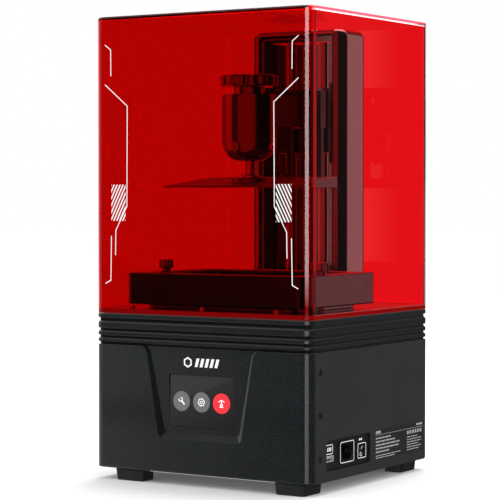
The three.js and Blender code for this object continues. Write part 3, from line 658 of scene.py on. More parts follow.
def hatch(cx, cz, lean):
    """Slanted bars clipped to an upright rectangle; lean is 1 or -1."""
    half_w, half_h = 8.4 * MM, 17.4 * MM
    pitch, thick, rise = 6.7 * MM, 2.9 * MM, 1.9
    drop = 2 * half_w * rise
    found = []
    for i in range(-8, 9):
        z = i * pitch + half_h
        corners = [(-half_w, z), (half_w, z - drop), (half_w, z - drop - thick), (-half_w, z - thick)]
        clipped = clip(corners, -half_h, half_h)
        if len(clipped) > 2:
            points = [Vector((cx + lean * x, cz + y)) for x, y in clipped]
            if lean < 0:
                points.reverse()
            found.append((points, [tuple(range(len(points)))]))
    return found


def clip(points, low, high):
    """Keep the part of a flat outline between two heights."""
    for limit, keep_above in ((low, True), (high, False)):
        out = []
        for i, p in enumerate(points):
            q = points[(i + 1) % len(points)]
            p_in = p[1] >= limit if keep_above else p[1] <= limit
            q_in = q[1] >= limit if keep_above else q[1] <= limit
            if p_in:
                out.append(p)
            if p_in != q_in:
                t = (limit - p[1]) / (q[1] - p[1])
                out.append((p[0] + t * (q[0] - p[0]), limit))
        points = out
    return points


# ---------- base ----------

RECESS_TOP = 132.0

# Heights in millimetres: the collar's skin as (inset, height), and the floors of its grooves, which
# take painted shade.
COLLAR_PROFILE = (
    (2, 131.6), (2, 132.9), (0.5, 133.7), (0.15, 134.0), (0, 134.5), (0, 135.9), (0.2, 136.4),
    (1.5, 137.9), (2, 138.2), (2, 139.6), (0.3, 139.9), (0, 140.3), (0, 142.7), (0.2, 143.2),
    (1.5, 144.7), (2, 145.0), (2, 146.5), (0.3, 146.8), (0, 147.2), (0, 151.6), (0.2, 152.2),
    (1.6, 153.9), (2, 154.2), (2, 156.6), (0.3, 156.9), (0, 157.3), (0, 160.5), (0.4, 161.0),
)
SHADED_GROOVES = ((131.65, 132.85), (138.25, 139.55), (145.05, 146.45), (154.25, 156.55))


def make_collar():
    """Ribbed band with its groove floors painted dark as shade, and a tongue inside it that closes the
    seam below.
    """
    low, high = COLLAR_LO.z, COLLAR_HI.z
    steps = [(i * MM, min(max(z * MM, low), high)) for i, z in COLLAR_PROFILE]
    outer = column("collar_look", HALF_X, HALF_Y, CORNER, steps)
    inner = column("collar_hollow", HALF_X - 7 * MM, HALF_Y - 7 * MM, 4 * MM,
                   [(0, low - 5 * MM), (0, high + 5 * MM)], arc=12)
    carve(outer, [inner])
    tongues = [((-116.9, -115.6), (-104, 104), 128.4), ((115.6, 116.9), (-104, 104), 128.4),
               ((-108, 108), (109.1, 110.4), 128.4), ((-104, 104), (-110.4, -107.8), 131.9),
               ((-104, 104), (-108.9, -107.8), 128.4)]
    carve(outer, [block("collar_tongue", xs, ys, (z, 134)) for xs, ys, z in tongues], "UNION")
    smooth(outer, 25)
    place(outer, "base", MOULDING, ("ribbed_collar",))
    # Painted shade: groove floors, except on the right side, take the near-black matte finish.
    outer.data.materials.append(MATTE_BLACK)
    for face in outer.data.polygons:
        heights = [outer.data.vertices[i].co.z for i in face.vertices]
        low_face = max(heights) - min(heights) < 3 * MM
        if low_face and face.normal.x < 0.8 and any(a < face.center.z / MM < b for a, b in SHADED_GROOVES):
            face.material_index = 1


def recess_floor(z):
    """How far back the sloping floor of the front recess lies at height z in millimetres."""
    return -HALF_Y + (2.5 + 2.0 * (RECESS_TOP - z) / 82) * MM


def recess_outline(top_x, bottom_x, bottom_z, fillet, top_z=RECESS_TOP, flare=9.2, arc=10):
    """Half-width follows a straight flank that flares out at the top and turns in at the
    bottom. Points run once round, in millimetres."""
    slope = (top_x - bottom_x) / (top_z - bottom_z)

    def curve(a, b, c):
        points = []
        for i in range(arc + 1):
            t = i / arc
            points.append(((1 - t) ** 2 * a[0] + 2 * t * (1 - t) * b[0] + t * t * c[0],
                           (1 - t) ** 2 * a[1] + 2 * t * (1 - t) * b[1] + t * t * c[1]))
        return points

    high, low = top_z - flare, bottom_z + fillet
    right = [(top_x + flare, top_z + 4)]
    right += curve((top_x + flare, top_z), (top_x, top_z), (bottom_x + slope * (high - bottom_z), high))
    right += curve((bottom_x + slope * fillet, low), (bottom_x, bottom_z),
                   (bottom_x - fillet, bottom_z))
    left = [(-x, z) for x, z in reversed(right)]
    return right + left


def make_front_shell():
    """Woven front with a chamfered recess. A solid block behind the wall gives the recess depth."""
    bottom, top = SHELL_LO.z, SHELL_HI.z
    seam = SHELL_HI.y
    shell = column("front_shell_look", HALF_X, HALF_Y, CORNER, base_skin(bottom, top))
    hollow = column("shell_hollow", HALF_X - 2.5 * MM, HALF_Y - 2.5 * MM, 7.5 * MM, FULL_HEIGHT)
    back = column("shell_back", 0.2, 0.2, 1 * MM, FULL_HEIGHT, (0, seam + 0.2), 2)
    carve(shell, [hollow, back])
    lid = top - 0.1 * MM
    flank = [(x * MM, z * MM) for x, z in recess_outline(64, 49.5, 40.5, 8) if z * MM < lid]
    outline = [(flank[0][0], lid)] + flank + [(flank[-1][0], lid)]
    backing = prism("shell_backing", outline, (-HALF_Y + 1 * MM, -HALF_Y + 6.8 * MM))
    carve(shell, [backing], "UNION")
    wide = recess_outline(61.06, 46.56, 44, 5.94)
    narrow = recess_outline(58, 42, 50, 4.6)
    rings = [[(x * MM, -HALF_Y - 1 * MM, z * MM) for x, z in wide],
             [(x * MM, -HALF_Y, z * MM) for x, z in wide],
             [(x * MM, recess_floor(z), z * MM) for x, z in narrow]]
    recess = new_object("shell_recess", loft_mesh(rings))
    half_w = (SCREEN_HI.x - SCREEN_LO.x) / 2 + 0.3 * MM
    half_h = (SCREEN_HI.z - SCREEN_LO.z) / 2 + 0.3 * MM
    window = rounded_outline(half_w, half_h, 0.8 * MM, 4)
    opening = prism("shell_window", window, (-HALF_Y - 1 * MM, -HALF_Y + 12 * MM), dz=SCREEN_MID.z)
    carve(shell, [recess, opening])
    run_map(shell)
    place(shell, "base", WOVEN, ("front_shell",))
    for material in (SHELL_TRIM, RECESS_SHADE, RECESS_PAINTED_LIGHT):
        shell.data.materials.append(material)
    # The recess's bottom flank takes the plain trim, its left flank a darker copy as painted shade and
    # its right flank a lighter copy as painted light.
    for face in shell.data.polygons:
        at = face.center
        in_recess = at.y < -HALF_Y + 5.5 * MM and abs(at.x) < HALF_X - CORNER and at.z > 30 * MM
        if in_recess and abs(face.normal.y) < 0.97:
            face.material_index = 1 if abs(face.normal.x) < 0.25 else 2 if face.normal.x > 0 else 3
    smooth(shell, 30)
    bevel(shell, 0.9 * MM, 3, 18)


def run_map(obj):
    """UV in metres: along the skin's outline, and up."""
    layer = obj.data.uv_layers.new(name="run")
    flat_x = HALF_X - CORNER
    centre_y = -HALF_Y + CORNER
    for loop in obj.data.loops:
        p = obj.data.vertices[loop.vertex_index].co
        if abs(p.x) <= flat_x:
            run = p.x
        else:
            side = math.copysign(1, p.x)
            angle = math.pi / 2
            if p.y < centre_y:
                angle = math.atan2(abs(p.x) - flat_x, max(centre_y - p.y, 1e-6))
            run = side * (flat_x + CORNER * angle + max(p.y - centre_y, 0))
        layer.data[loop.index].uv = (run, p.z)


def badge():
    """Generic mark: a hexagon outline and slanted bars, leaning with the recess floor."""
    height = 117.5
    here = facing_front(0, recess_floor(height), height * MM, -SCREEN_TILT)
    hexagon = []
    for i in range(6):
        a = math.radians(60 * i + 30)
        hexagon.append((-14.5 * MM + 4.3 * MM * math.cos(a), 4.3 * MM * math.sin(a)))
    shapes = [stroke(hexagon, 1.5 * MM, True)]
    for i in range(5):
        shapes.append(bar((-4.0 + i * 5.6) * MM, 0, 3.2 * MM, 8.2 * MM, 2.4 * MM))
    place(marks("badge_mark", shapes, here, 0.12 * MM), "base", WHITE_INK_PAINTED_GLOW)


# ---------- screen ----------

def screen_marks():
    """Three round keys with picture signs, and a dark line round the panel that is painted shadow in
    the gap at its edge.
    """
    here = facing_front(0, -HALF_Y + 4.25 * MM, SCREEN_MID.z, SCREEN_TILT)
    key_x = 22.6 * MM
    radius = 9.5 * MM
    low = -0.6 * MM
    shadow_line_width = SCREEN_HI.x - SCREEN_LO.x + 0.4 * MM
    # Painted shadow: a near-black ring where the gap round the panel lies in shade.
    gap = stroke(rounded_loop(0, 0, shadow_line_width, 49.2 * MM, 1.2 * MM), 0.9 * MM, True)
    keys = [disc(-key_x, low, radius), disc(0, low, radius)]
    signs = spanner(-key_x, low) + gear(0, low) + nozzle(key_x, low)
    rows = [
        ("screen_shadow_line", [gap], 0.03, "black_plastic", INLET_BLACK),
        ("screen_keys_grey", keys, 0.05, "screen_glass", KEY_GREY),
        ("screen_key_red", [disc(key_x, low, radius)], 0.05, "screen_glass", KEY_RED),
        ("screen_signs", signs, 0.1, "screen_glass", KEY_WHITE),
    ]
    for name, shapes, height, slot, material in rows:
        place(marks(name, shapes, here, height * MM), "base", material)


def spanner(cx, cy):
    """Open ring with a slanted handle."""
    bend, reach = (cx - 1.1 * MM, cy + 1.6 * MM), 1.9 * MM
    head = []
    for degrees in range(160, 471, 26):
        a = math.radians(degrees)
        head.append((bend[0] + reach * math.cos(a), bend[1] + reach * math.sin(a)))
    handle = [(cx + 0.3 * MM, cy + 0.2 * MM), (cx + 3.3 * MM, cy - 3.0 * MM)]
    return [stroke(head, 1.0 * MM), stroke(handle, 1.7 * MM)]


def gear(cx, cy):
    """Toothed outline round a small ring."""
    outline = []
    for i in range(24):
        a = (i + 0.5) / 24 * 2 * math.pi
        r = (3.6 if i % 4 < 2 else 3.0) * MM
        outline.append((cx + r * math.cos(a), cy + r * math.sin(a)))
    return [stroke(outline, 0.9 * MM, True), ring(cx, cy, 1.2 * MM, 0.7 * MM)]


def nozzle(cx, cy):
    """Roof over a stem and a stepped foot."""
    roof = [(cx - 3.4 * MM, cy + 1.3 * MM), (cx, cy + 3.2 * MM), (cx + 3.4 * MM, cy + 1.3 * MM)]
    stem = [(cx, cy + 2.6 * MM), (cx, cy - 0.6 * MM)]
    return [stroke(roof, 0.8 * MM), stroke(stem, 1.1 * MM),
            bar(cx, cy - 1.6 * MM, 3.0 * MM, 2.2 * MM), bar(cx, cy - 3.4 * MM, 4.4 * MM, 0.8 * MM)]


# ---------- right side marks ----------

def port_marks():
    """Outlines round the inlet, the switch and the port, and small generic signs."""
    skin = 0.02 * MM
    line = 0.55 * MM
    inlet_y, inlet_z = (INLET_LO.y + INLET_HI.y) / 2, (INLET_LO.z + INLET_HI.z) / 2
    switch_y, switch_z = (SWITCH_LO.y + SWITCH_HI.y) / 2, (SWITCH_LO.z + SWITCH_HI.z) / 2
    usb_y, sign_z = (USB_LO.y + USB_HI.y) / 2, 40.4 * MM
    shapes = [stroke(rounded_loop(inlet_y, inlet_z, 25.6 * MM, 19.3 * MM, 2.2 * MM), line, True),
              stroke(rounded_loop(switch_y, switch_z, 15.4 * MM, 13.8 * MM, 1.4 * MM), line, True)]
    obj = marks("port_outlines", shapes, facing_right(INLET_HI.x + skin, 0, 0))
    place(obj, "base", WHITE_INK_PAINTED_GLOW)
    loop = rounded_loop(usb_y + 0.6 * MM, sign_z, 12.4 * MM, 8.4 * MM, 1.6 * MM)
    shapes = [stroke(loop, line, True)]
    for i in range(3):
        shapes.append(bar(usb_y + (i * 2.8 - 2.2) * MM, sign_z, 1.4 * MM, 3.6 * MM, 0.6 * MM))
    for i in range(2):
        shapes.append(bar(switch_y + (i * 3.2 - 1.6) * MM, 43.9 * MM, 2.2 * MM, 1.8 * MM, 0.6 * MM))
    obj = marks("port_signs", shapes, facing_right(PORT_X + skin, 0, 0))
    place(obj, "base", WHITE_INK_PAINTED_GLOW)
    rocker_marks()


def rocker_marks():
    """Ring and bar on the two halves of the rocker, laid on its slanted faces."""
    mesh = NODES["switch_rocker"].data
    mid_z = (ROCKER_LO.z + ROCKER_HI.z) / 2
    mid_y = (ROCKER_LO.y + ROCKER_HI.y) / 2
    for name, sign in (("rocker_ring", -1), ("rocker_bar", 1)):
        half = [f for f in mesh.polygons if f.normal.x > 0.8 and sign * (f.center.z - mid_z) > 0]
        best = max(half, key=lambda f: f.area)
        z = mid_z + sign * 3.3 * MM
        x = best.center.x - (z - best.center.z) * best.normal.z / best.normal.x + 0.05 * MM
        lean = math.atan2(best.normal.z, best.normal.x)
        turn = Matrix.Rotation(-lean, 4, "Y")
        here = Matrix.Translation((x, mid_y, z)) @ turn @ facing_right(0, 0, 0)
        shapes = [ring(0, 0, 1.7 * MM, 0.5 * MM)] if sign < 0 else [bar(0, 0, 0.6 * MM, 3.4 * MM)]
        place(marks(name, shapes, here), "power_rocker", WHITE_INK_PAINTED_GLOW)


def dashes(left, z, length, height, first):
    """A ruled row broken into short dashes of unequal length."""
    sizes, gap = (5.2, 7.4, 3.1, 6.3, 8.2, 4.1), 0.9 * MM
    shapes, at, i = [], left, first
    while at < left + length - 1.5 * MM:
        size = min(sizes[i % len(sizes)] * MM, left + length - at)
        shapes.append(bar(at + size / 2, z, size, height))
        at += size + gap
        i += 1
    return shapes


def rating_plate():
    """Plain sticker with ruled bars in two columns."""
    here = facing_right(PANEL_X - 0.1 * MM, 54.2 * MM, 35.2 * MM)
    ground = [bar(0, 0, 101 * MM, 29.5 * MM)]
    place(marks("rating_plate_ground", ground, here, 0.05 * MM), "base", LABEL_INK)
    shapes = [bar(-43.5 * MM, 12.2 * MM, 10 * MM, 2.6 * MM), bar(41 * MM, 12.4 * MM, 13 * MM, 1.8 * MM),
              bar(0, 9.6 * MM, 98 * MM, 0.35 * MM)]
    rows = [(-48.5, 6.4 - i * 3.3, length, 1.5) for i, length in enumerate([30, 40, 48, 47, 27])]
    rows += [(-48.5, -10.4 - i * 2.1, length, 0.9) for i, length in enumerate([50, 38])]
    rows += [(15, 1.4 - i * 2.5, length, 0.9) for i, length in enumerate([22, 30, 30, 24, 30, 26])]
    for row, (left, z, length, height) in enumerate(rows):
        shapes += dashes(left * MM, z * MM, length * MM, height * MM, row)
    for i in range(6):
        shapes.append(bar((17 + i * 5.4) * MM, 6 * MM, 3.4 * MM, 3.4 * MM))
    place(marks("rating_plate_bars", shapes, here, 0.09 * MM), "base", GREY_INK)


# ---------- platform, arm and drive ----------

# The head's outline as (radius, height) in millimetres, turned about an upright axis at ARM_Y.
HEAD_PROFILE = (
    (0, 308.6), (9.5, 308.6), (14, 309.3), (18, 311.2), (21.5, 314.2), (24.2, 318.2), (26, 323),
    (26.75, 329), (26.75, 371.2), (26.3, 372.5), (25, 373), (15.4, 373), (15, 373.4), (15, 380.0),
    (14.7, 380.3), (0, 380.3),
)


def make_arm():
    """Arm with a bullet-shaped head, joined from fine pieces."""
    axis = (0, ARM_Y * MM, 0)
    arm = turned("platform_arm_look", [(r * MM, z * MM) for r, z in HEAD_PROFILE], axis, 72)
    beam = block("arm_beam", (-15, 15), (ARM_Y, 62), (343, 373))
    flange = block("arm_flange", (-27, 27), (60, 69.7), (343, 380))
    pieces, cutters = [beam, flange], []
    tail = rounded_outline(10.5 * MM, 30.5 * MM, 3 * MM, 6)
    hole = rounded_outline(4.8 * MM, 13 * MM, 4.79 * MM, 10)
    for side in (-1, 1):
        pieces.append(prism("arm_tail", tail, (61 * MM, 66 * MM), side * 16.5 * MM, 319.5 * MM))
    carve(arm, pieces, "UNION")
    for side in (-1, 1):
        cutters.append(prism("arm_slot", hole, (55 * MM, 70 * MM), side * 15.5 * MM, 307.5 * MM))
    pocket = [(0, 22 * MM), (5.4 * MM, 22 * MM), (5.4 * MM, 32 * MM), (0, 32 * MM)]
    for way in ("x", "-x", "y", "-y"):
        cutters.append(turned("arm_pocket", pocket, (0, ARM_Y * MM, 322 * MM), 24, way))
    mouth = [(0, 0.3), (10 * MM, 0.3), (8.2 * MM, 0.322), (0, 0.322)]
    cutters.append(turned("arm_mouth", mouth, axis, 32))
    carve(arm, cutters)
    place(arm, "carriage", BLACK_CAST, ("platform_arm",))
    arm.data.materials.append(CARRIAGE_BLACK)
    for face in arm.data.polygons:
        if face.center.y > 1 * MM:
            face.material_index = 1
    smooth(arm, 30)
    bevel(arm, 0.6 * MM, 2, 35)


def make_knob():
    """Hand wheel with rounded finger flutes between two plain rims."""
    axis = (0, ARM_Y * MM, 0)
    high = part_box("platform_knob")[1].z
    steps = [(1.2, 0.0, 0), (0.3, 0.35, 0), (0, 1.2, 0), (0, 1.8, 1), (0, 9.2, 1), (0, 9.8, 0),
             (0.3, 10.5, 0), (1.2, 10.9, 0)]
    knob = fluted("platform_knob_look", axis, 380.7 * MM, steps, 28, 14, 12, 2.2, 2)
    spindle = [(0, 0.364), (5 * MM, 0.364), (5 * MM, 0.383), (0, 0.383)]
    dish = [(0, high - 1.2 * MM), (18 * MM, high - 1.2 * MM), (19 * MM, high + 1 * MM),
            (0, high + 1 * MM)]
    carve(knob, [turned("knob_spindle", spindle, axis, 32)], "UNION")
    carve(knob, [turned("knob_dish", dish, axis, 48)])
    place(knob, "arm_knob", BLACK_CAST, ("platform_knob",))
    smooth(knob, 40)


def make_lead_screw():
    """Rod with a two-start trapezoid thread: a stack of rings whose radius follows the helix."""
    lo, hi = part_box("lead_screw")
    centre = (lo + hi) / 2
    crest, root, pitch, starts = 4 * MM, 3.35 * MM, 2 * MM, 2
    around, plain_end = 24, 3 * MM
    rows = round((hi.z - lo.z) / (pitch / 6))
    rings = []
    for k in range(rows + 1):
        z = lo.z + (hi.z - lo.z) * k / rows
        threaded = lo.z + plain_end < z < hi.z - plain_end
        ring_points = []
        for i in range(around):
            phase = (z / pitch - starts * i / around) % 1
            ridge = min(max((0.5 - abs(phase - 0.5) - 0.12) / 0.16, 0), 1) if threaded else 0
            r = root + (crest - root) * ridge
            a = i / around * 2 * math.pi
            ring_points.append((centre.x + r * math.cos(a), centre.y + r * math.sin(a), z))
        rings.append(ring_points)
    rod = new_object("lead_screw_look", loft_mesh(rings))
    place(rod, "drive_screw", ROD_STEEL, ("lead_screw",))
    rod.visible_glossy = False
    smooth(rod, 50)


def make_rods():
    """Round guide rods with small chamfers at the ends."""
    for side in ("left", "right"):
        node = "guide_rod_" + side
        lo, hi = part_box(node)
        centre = (lo + hi) / 2
        r = (hi.x - lo.x) / 2
        steps = [(0, lo.z), (r - 0.5 * MM, lo.z), (r, lo.z + 0.5 * MM), (r, hi.z - 0.5 * MM),
                 (r - 0.5 * MM, hi.z), (0, hi.z)]
        rod = turned(node + "_look", steps, (centre.x, centre.y, 0), 40)
        smooth(rod, 40)
        place(rod, "base", ROD_STEEL, (node,))
        rod.visible_glossy = False


def make_thumbscrews():
    """Fluted heads on a plain collar and stem."""
    for side in ("left", "right"):
        node = "thumbscrew_" + side
        lo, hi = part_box(node)
        centre = (lo + hi) / 2
        head_low = hi.z - 8.5 * MM
        steps = ((0.7, 0, 0), (0, 0.7, 1), (0, 7.8, 1), (0.7, 8.5, 0))
        head = fluted(node + "_look", centre, head_low, steps, 7, 18, 6, 0.6, 1)
        shoulder = 200.3 * MM
        stem = [(0, lo.z), (2.1 * MM, lo.z), (2.5 * MM, lo.z + 0.5 * MM), (2.5 * MM, shoulder),
                (4.6 * MM, shoulder), (4.6 * MM, head_low + 0.5 * MM), (0, head_low + 0.5 * MM)]
        carve(head, [turned("stem", stem, (centre.x, centre.y, 0), 32)], "UNION")
        smooth(head, 35)
        place(head, "vat_screw_" + side, BLACK_CAST, (node,))


# ---------- carried-over parts ----------

# (node, slot, material, edge width in millimetres); the last group names its body second.
BASE_PARTS = (
    ("side_panel_right", "charcoal_metal", CHARCOAL, 0.35),
    ("side_panel_left", "charcoal_metal", CHARCOAL, 0.35),
    ("deck_plate", "charcoal_metal", DECK_ENAMEL, 0.3),
    ("port_plate", "black_metal", BLACK_PAINT, 0.2),
    ("power_inlet", "black_plastic", INLET_BLACK, 0.3),
    ("usb_port", "steel", PORT_METAL, 0.15),
    ("switch_frame", "black_plastic", PLASTIC, 0.3),
    ("light_window", "clear_glass", GLASS, 0.2),
    ("foot_front_left", "foot_rubber", RUBBER, 0.9),
    ("foot_front_right", "foot_rubber", RUBBER, 0.9),
    ("foot_back_left", "foot_rubber", RUBBER, 0.9),
    ("foot_back_right", "foot_rubber", RUBBER, 0.9),
    ("tower_column", "black_anodised", TOWER_PAINT, 0.3),
    ("upper_rod_block", "black_cast_metal", TOWER_PAINT, 0.4),
    ("base_tray", "black_metal", BLACK_PAINT, 0.2),
    ("touchscreen", "screen_glass", SCREEN, 0.25),
)
CARRIAGE_PARTS = (
    ("carriage_block", "black_cast_metal", TOWER_PAINT, 0.4),
    ("lead_nut", "lead_nut_brass", BRASS, 0.3),
    ("linear_bearing_left", "polished_steel", CHROME, 0.3),
    ("linear_bearing_right", "polished_steel", CHROME, 0.3),
)
OTHER_PARTS = [
    ("vat_frame", "vat", "black_anodised", VAT_BLACK, 0.5),
    ("vat_film", "vat", "clear_film", FILM, 0.0),
    ("film_frame", "vat", "steel", DARK_STEEL, 0.2),
    ("build_platform", "platform", "bright_metal", PLATE_DARK, 0.3),
    ("ball_stud", "platform", "steel", STEEL, 0.3),
    ("switch_rocker", "power_rocker", "black_plastic", PLASTIC, 0.3),
    ("fan_rotor", "cooling_fan", "black_plastic", PLASTIC, 0.2),
]
NO_MIRROR_IMAGE = ("tower_column", "upper_rod_block", "carriage_block", "lead_nut",
                   "linear_bearing_left", "linear_bearing_right")


def refine_all():
    """Softened copies of the CAD nodes whose shape needs no rebuilding, body by body."""
    parts = [(node, "base", *rest) for node, *rest in BASE_PARTS]
    for i in (1, 2, 3):
        parts.append((f"deck_screw_{i}", "base", "steel", STEEL, 0.25))
        parts.append((f"panel_screw_right_{i}", "base", "steel", BLACK_PAINT, 0.15))
        parts.append((f"panel_screw_left_{i}", "base", "steel", BLACK_PAINT, 0.15))
    parts += [(node, "carriage", *rest) for node, *rest in CARRIAGE_PARTS]
    for way in ("front", "back", "left", "right"):
        parts.append((f"clamp_screw_{way}", "carriage", "steel", STEEL, 0.3))
    parts += OTHER_PARTS
    for node, body, slot, material, width in parts:
        look = refine(node, body, material, width * MM)
        if node in NO_MIRROR_IMAGE:
            look.visible_glossy = False
        if node == "side_panel_right":
            for vertex in look.data.vertices:
                vertex.co.x = min(vertex.co.x, PANEL_X - 0.08 * MM)


def dress_cad():
    """Better materials on the CAD nodes that keep their own mesh."""
    looks = {
        "display_board": BOARD, "mainboard": BOARD, "projector_body": BLASTED, "projector_lens": GLASS,
        "power_supply": BLASTED, "fan_frame": PLASTIC, "z_motor": BLACK_CAST,
    }
    for node, material in looks.items():
        mesh = NODES[node].data
        mesh.materials.clear()
        mesh.materials.append(material)


def make_rear_panel():
    """Plain panel with a round grille of upright slots and a stack of level ones."""
    lo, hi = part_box("rear_panel")
    shell = column("rear_panel_look", HALF_X, HALF_Y, CORNER, base_skin(lo.z, hi.z))
    hollow = column("rear_hollow", HALF_X - 2 * MM, HALF_Y - 2 * MM, 8 * MM, FULL_HEIGHT)
    away = column("rear_front", 0.2, 0.2, 1 * MM, FULL_HEIGHT, (0, lo.y - 0.2), 2)
    cutters = [hollow, away]
    for i in range(-4, 5):
        dx = i * 6
        cutters.append(slot_cutter(-62 + dx, 72, 2, math.sqrt(27.5 ** 2 - dx ** 2)))
    for i in range(6):
        cutters.append(slot_cutter(60, 50 + i * 8, 30, 2))
    carve(shell, cutters)
    place(shell, "base", CHARCOAL, ("rear_panel",))
    smooth(shell, 30)
    bevel(shell, 0.3 * MM, 2, 35)


def slot_cutter(cx, cz, half_x, half_z):
    """Round-ended cutter through the rear wall, in millimetres."""
    outline = rounded_outline(half_x * MM, half_z * MM, 1.99 * MM, 5)
    return prism("slot_cutter", outline, (112 * MM, 118 * MM), cx * MM, cz * MM)


def make_tower():
    """Housing round the drive, open towards the front. Its inner faces are matt."""
    lo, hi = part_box("tower_housing")
    centre = (lo + hi) / 2
    half_x, half_y = (hi.x - lo.x) / 2, (hi.y - lo.y) / 2
    top = hi.z
    wall = 2.5 * MM
    steps = [(0, lo.z)] + rounded_top(0, top, 8 * MM, 8, first=0)
    shell = column("tower_housing_look", half_x, half_y, 12 * MM, steps, (0, centre.y), 12)
    hollow = column("tower_hollow", half_x - wall, half_y - wall, 9.5 * MM,
                    [(0, lo.z - 5 * MM), (0, top - 4 * MM)], (0, centre.y), 12)
    outline = rounded_outline(38 * MM, 116.75 * MM, 3 * MM, 6)
    slot = prism("tower_slot", outline, (50 * MM, 66 * MM), dz=316.25 * MM)
    carve(shell, [hollow, slot])
    place(shell, "base", TOWER_PAINT, ("tower_housing",))
    shell.visible_glossy = False
    shell.data.materials.append(MATTE_BLACK)
    inner_x, inner_y, inner_top = half_x - 2 * MM, half_y - 2 * MM, top - 3 * MM
    for face in shell.data.polygons:
        at = face.center
        if abs(at.x) < inner_x and abs(at.y - centre.y) < inner_y and at.z < inner_top:
            face.material_index = 1
    smooth(shell, 30)
    bevel(shell, 0.4 * MM, 2, 35)


# ---------- stage ----------

LAMP = (math.radians(3), math.radians(46))
LAMP_LEVEL = 8
LAMP_LOW_LEVEL = 1.8
FLOOR_LINE = (-0.158, -0.147)
LOW_EDGE = -0.06
GREY, RED = (1, 1, 1), (1, 0.03, 0.04)
# Softboxes as (azimuth in degrees, level, tone): above the low edge, below it, and inside the cover.
AROUND_OUTSIDE = (
    (-180, 0.03, GREY), (-152, 0.03, GREY), (-142, 2.0, GREY), (-116, 2.0, GREY), (-102, 0.5, GREY),
    (-60, 0.5, GREY), (-46, 0.3, GREY), (-38, 0.02, GREY), (180, 0.03, GREY),
)
AROUND_LOW = (
    (-180, 0.03, GREY), (-152, 0.03, GREY), (-142, 2.0, GREY), (-116, 2.0, GREY), (-102, 0.6, GREY),
    (-46, 0.75, GREY), (-37, 0.46, GREY), (-33, 0.17, GREY), (-28, 0.02, GREY), (110, 0.03, GREY),
    (130, 0.25, GREY), (165, 0.25, GREY), (175, 0.03, GREY),
)
SOFTBOX_EDGE, SOFTBOX_END = -30.7, -29.1
AROUND_INSIDE = (
    (-180, 0.9, RED), (-100, 0.9, RED), (-66, 2.8, RED), (-50, 2.4, RED), (-42, 0.02, GREY),
    (SOFTBOX_EDGE - 0.2, 0.02, GREY), (SOFTBOX_EDGE + 0.2, 2.2, GREY),
    (SOFTBOX_END - 0.2, 2.2, GREY), (SOFTBOX_END + 0.2, 0.02, GREY), (-22, 0.02, GREY),
    (-14, 1.1, RED), (50, 1.0, RED), (64, 0.02, GREY), (132, 0.02, GREY), (139, 1.3, GREY),
    (156, 1.3, GREY), (164, 0.2, RED), (180, 0.9, RED),
)


def make_stage():
    """Pale matt floor."""
    bm = bmesh.new()
    bmesh.ops.create_grid(bm, x_segments=1, y_segments=1, size=12)
    floor = new_object("floor", bm)
    m = Nodes("pale_floor")
    tone = m.mix(m.ramp(m.noise(3, 2), 0.3, 0.7, 0, 1), (0.925, 0.925, 0.925), (0.94, 0.94, 0.94))
    m.put("Base Color", tone)
    m.put("Roughness", 0.9)
    m.put("Specular IOR Level", 0.0)
    m.put("Emission Color", tone)
    m.put("Emission Strength", 0.08)
    floor.data.materials.append(m.material)
    floor.visible_glossy = False


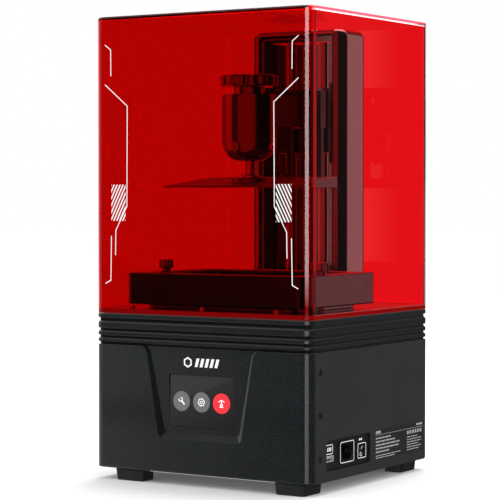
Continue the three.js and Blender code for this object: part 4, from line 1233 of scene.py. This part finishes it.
def make_world():
    """White room for the eye and for soft light. What shines back off a surface comes from a
    ring of softboxes, written as brightness against azimuth, in degrees. A ray that has passed
    through the cover's wall and shines off something inside sees a ring of its own."""
    world = bpy.data.worlds.new("studio")
    bpy.context.scene.world = world
    world.use_nodes = True
    world.node_tree.nodes.clear()
    t = Tree(world.node_tree)
    path = t.add("ShaderNodeLightPath")
    x, y, height = t.axes("Generated")
    azimuth = t.math("ARCTAN2", x, t.math("MULTIPLY", y, -1))
    share = t.math("ADD", t.math("DIVIDE", azimuth, 2 * math.pi), 0.5)

    def round_the_room(stops):
        ramp = t.add("ShaderNodeValToRGB")
        ramp.color_ramp.interpolation = "LINEAR"
        points = ramp.color_ramp.elements
        while len(points) > 1:
            points.remove(points[-1])
        for i, (degrees, level, tone) in enumerate(stops):
            place_at = (degrees + 180) / 360
            point = points[0] if i == 0 else points.new(place_at)
            point.position = place_at
            point.color = (*(level * c for c in tone), 1)
        t.link(share, ramp.inputs[0])
        return ramp.outputs[0]

    def between(value, low, high, soft):
        rise = t.math("MINIMUM", t.math("DIVIDE", t.math("SUBTRACT", value, low), soft), 1)
        fall = t.math("MINIMUM", t.math("DIVIDE", t.math("SUBTRACT", high, value), soft), 1)
        return t.math("MAXIMUM", t.math("MINIMUM", rise, fall), 0)

    lamp = t.math("ADD", t.math("MULTIPLY", between(height, LOW_EDGE, 0.13, 0.02), LAMP_LEVEL),
                  t.math("MULTIPLY", between(height, -0.17, LOW_EDGE, 0.02), LAMP_LOW_LEVEL))
    lamp = t.math("MULTIPLY", between(azimuth, LAMP[0], LAMP[1], math.radians(3)), lamp)
    ceiling = t.math("MULTIPLY", between(height, 0.35, 2, 0.3), 0.6)
    floor_line = t.math("ADD", height, t.math("MULTIPLY", azimuth, 0.07))
    edge = t.math("MULTIPLY", between(floor_line, *FLOOR_LINE, 0.002), 0.75)
    walls = t.mix(between(height, -2, LOW_EDGE, 0.01), round_the_room(AROUND_OUTSIDE),
                  round_the_room(AROUND_LOW))
    walls = t.vector("SCALE", walls, t.math("SUBTRACT", 1, edge))
    outside = t.vector("ADD", walls, t.math("ADD", lamp, ceiling))
    inside = t.math("GREATER_THAN", path.outputs["Transmission Depth"], 1.5)
    shine = t.mix(inside, outside, round_the_room(AROUND_INSIDE))
    not_through = t.math("SUBTRACT", 1, path.outputs["Is Transmission Ray"])
    mirrored = t.math("MULTIPLY", path.outputs["Is Glossy Ray"], not_through)
    background = t.add("ShaderNodeBackground")
    t.link(t.mix(mirrored, (1, 1, 1), shine), background.inputs["Color"])
    out = t.add("ShaderNodeOutputWorld")
    t.link(background.outputs[0], out.inputs["Surface"])
    world.cycles.sampling_method = "NONE"


def area_light(name, azimuth, elevation, distance, size, size_y, power, aim):
    light = bpy.data.lights.new(name, "AREA")
    light.shape = "RECTANGLE"
    light.size = size
    light.size_y = size_y
    light.energy = power
    obj = bpy.data.objects.new(name, light)
    a, e = math.radians(azimuth), math.radians(elevation)
    back = Vector((math.sin(a) * math.cos(e), -math.cos(a) * math.cos(e), math.sin(e)))
    obj.location = Vector(aim) + back * distance
    obj.rotation_mode = "QUATERNION"
    obj.rotation_quaternion = back.to_track_quat("Z", "Y")
    bpy.context.scene.collection.objects.link(obj)
    return obj


def make_lights():
    area_light("soft_top", 190, 62, 2.2, 1.4, 1.4, 26, (0, 0, 0.1))
    side = area_light("soft_right", 105, 15, 1.2, 0.8, 0.8, 3.2, (0, 0, 0.15))
    side.visible_glossy = False


def make_camera():
    data = bpy.data.cameras.new("camera")
    data.sensor_width = 36
    data.lens = 141.73
    data.clip_start = 0.05
    data.clip_end = 50
    camera = bpy.data.objects.new("camera", data)
    camera.location = (1.03061, -1.64758, 0.27471)
    camera.rotation_euler = (math.radians(90 - 1.578), 0, math.radians(32.447))
    bpy.context.scene.collection.objects.link(camera)
    bpy.context.scene.camera = camera


make_camera()
make_world()
make_lights()
make_stage()
make_cover()
cover_marks()
make_collar()
make_front_shell()
badge()
screen_marks()
port_marks()
rating_plate()
make_arm()
make_knob()
make_lead_screw()
make_rods()
make_thumbscrews()
make_rear_panel()
make_tower()
refine_all()
dress_cad()
weigh_normals()

bpy.context.scene.view_settings.view_transform = "Standard"
bpy.context.scene.cycles.max_bounces = 16
bpy.context.scene.cycles.transmission_bounces = 12

bpy.context.view_layer.update()
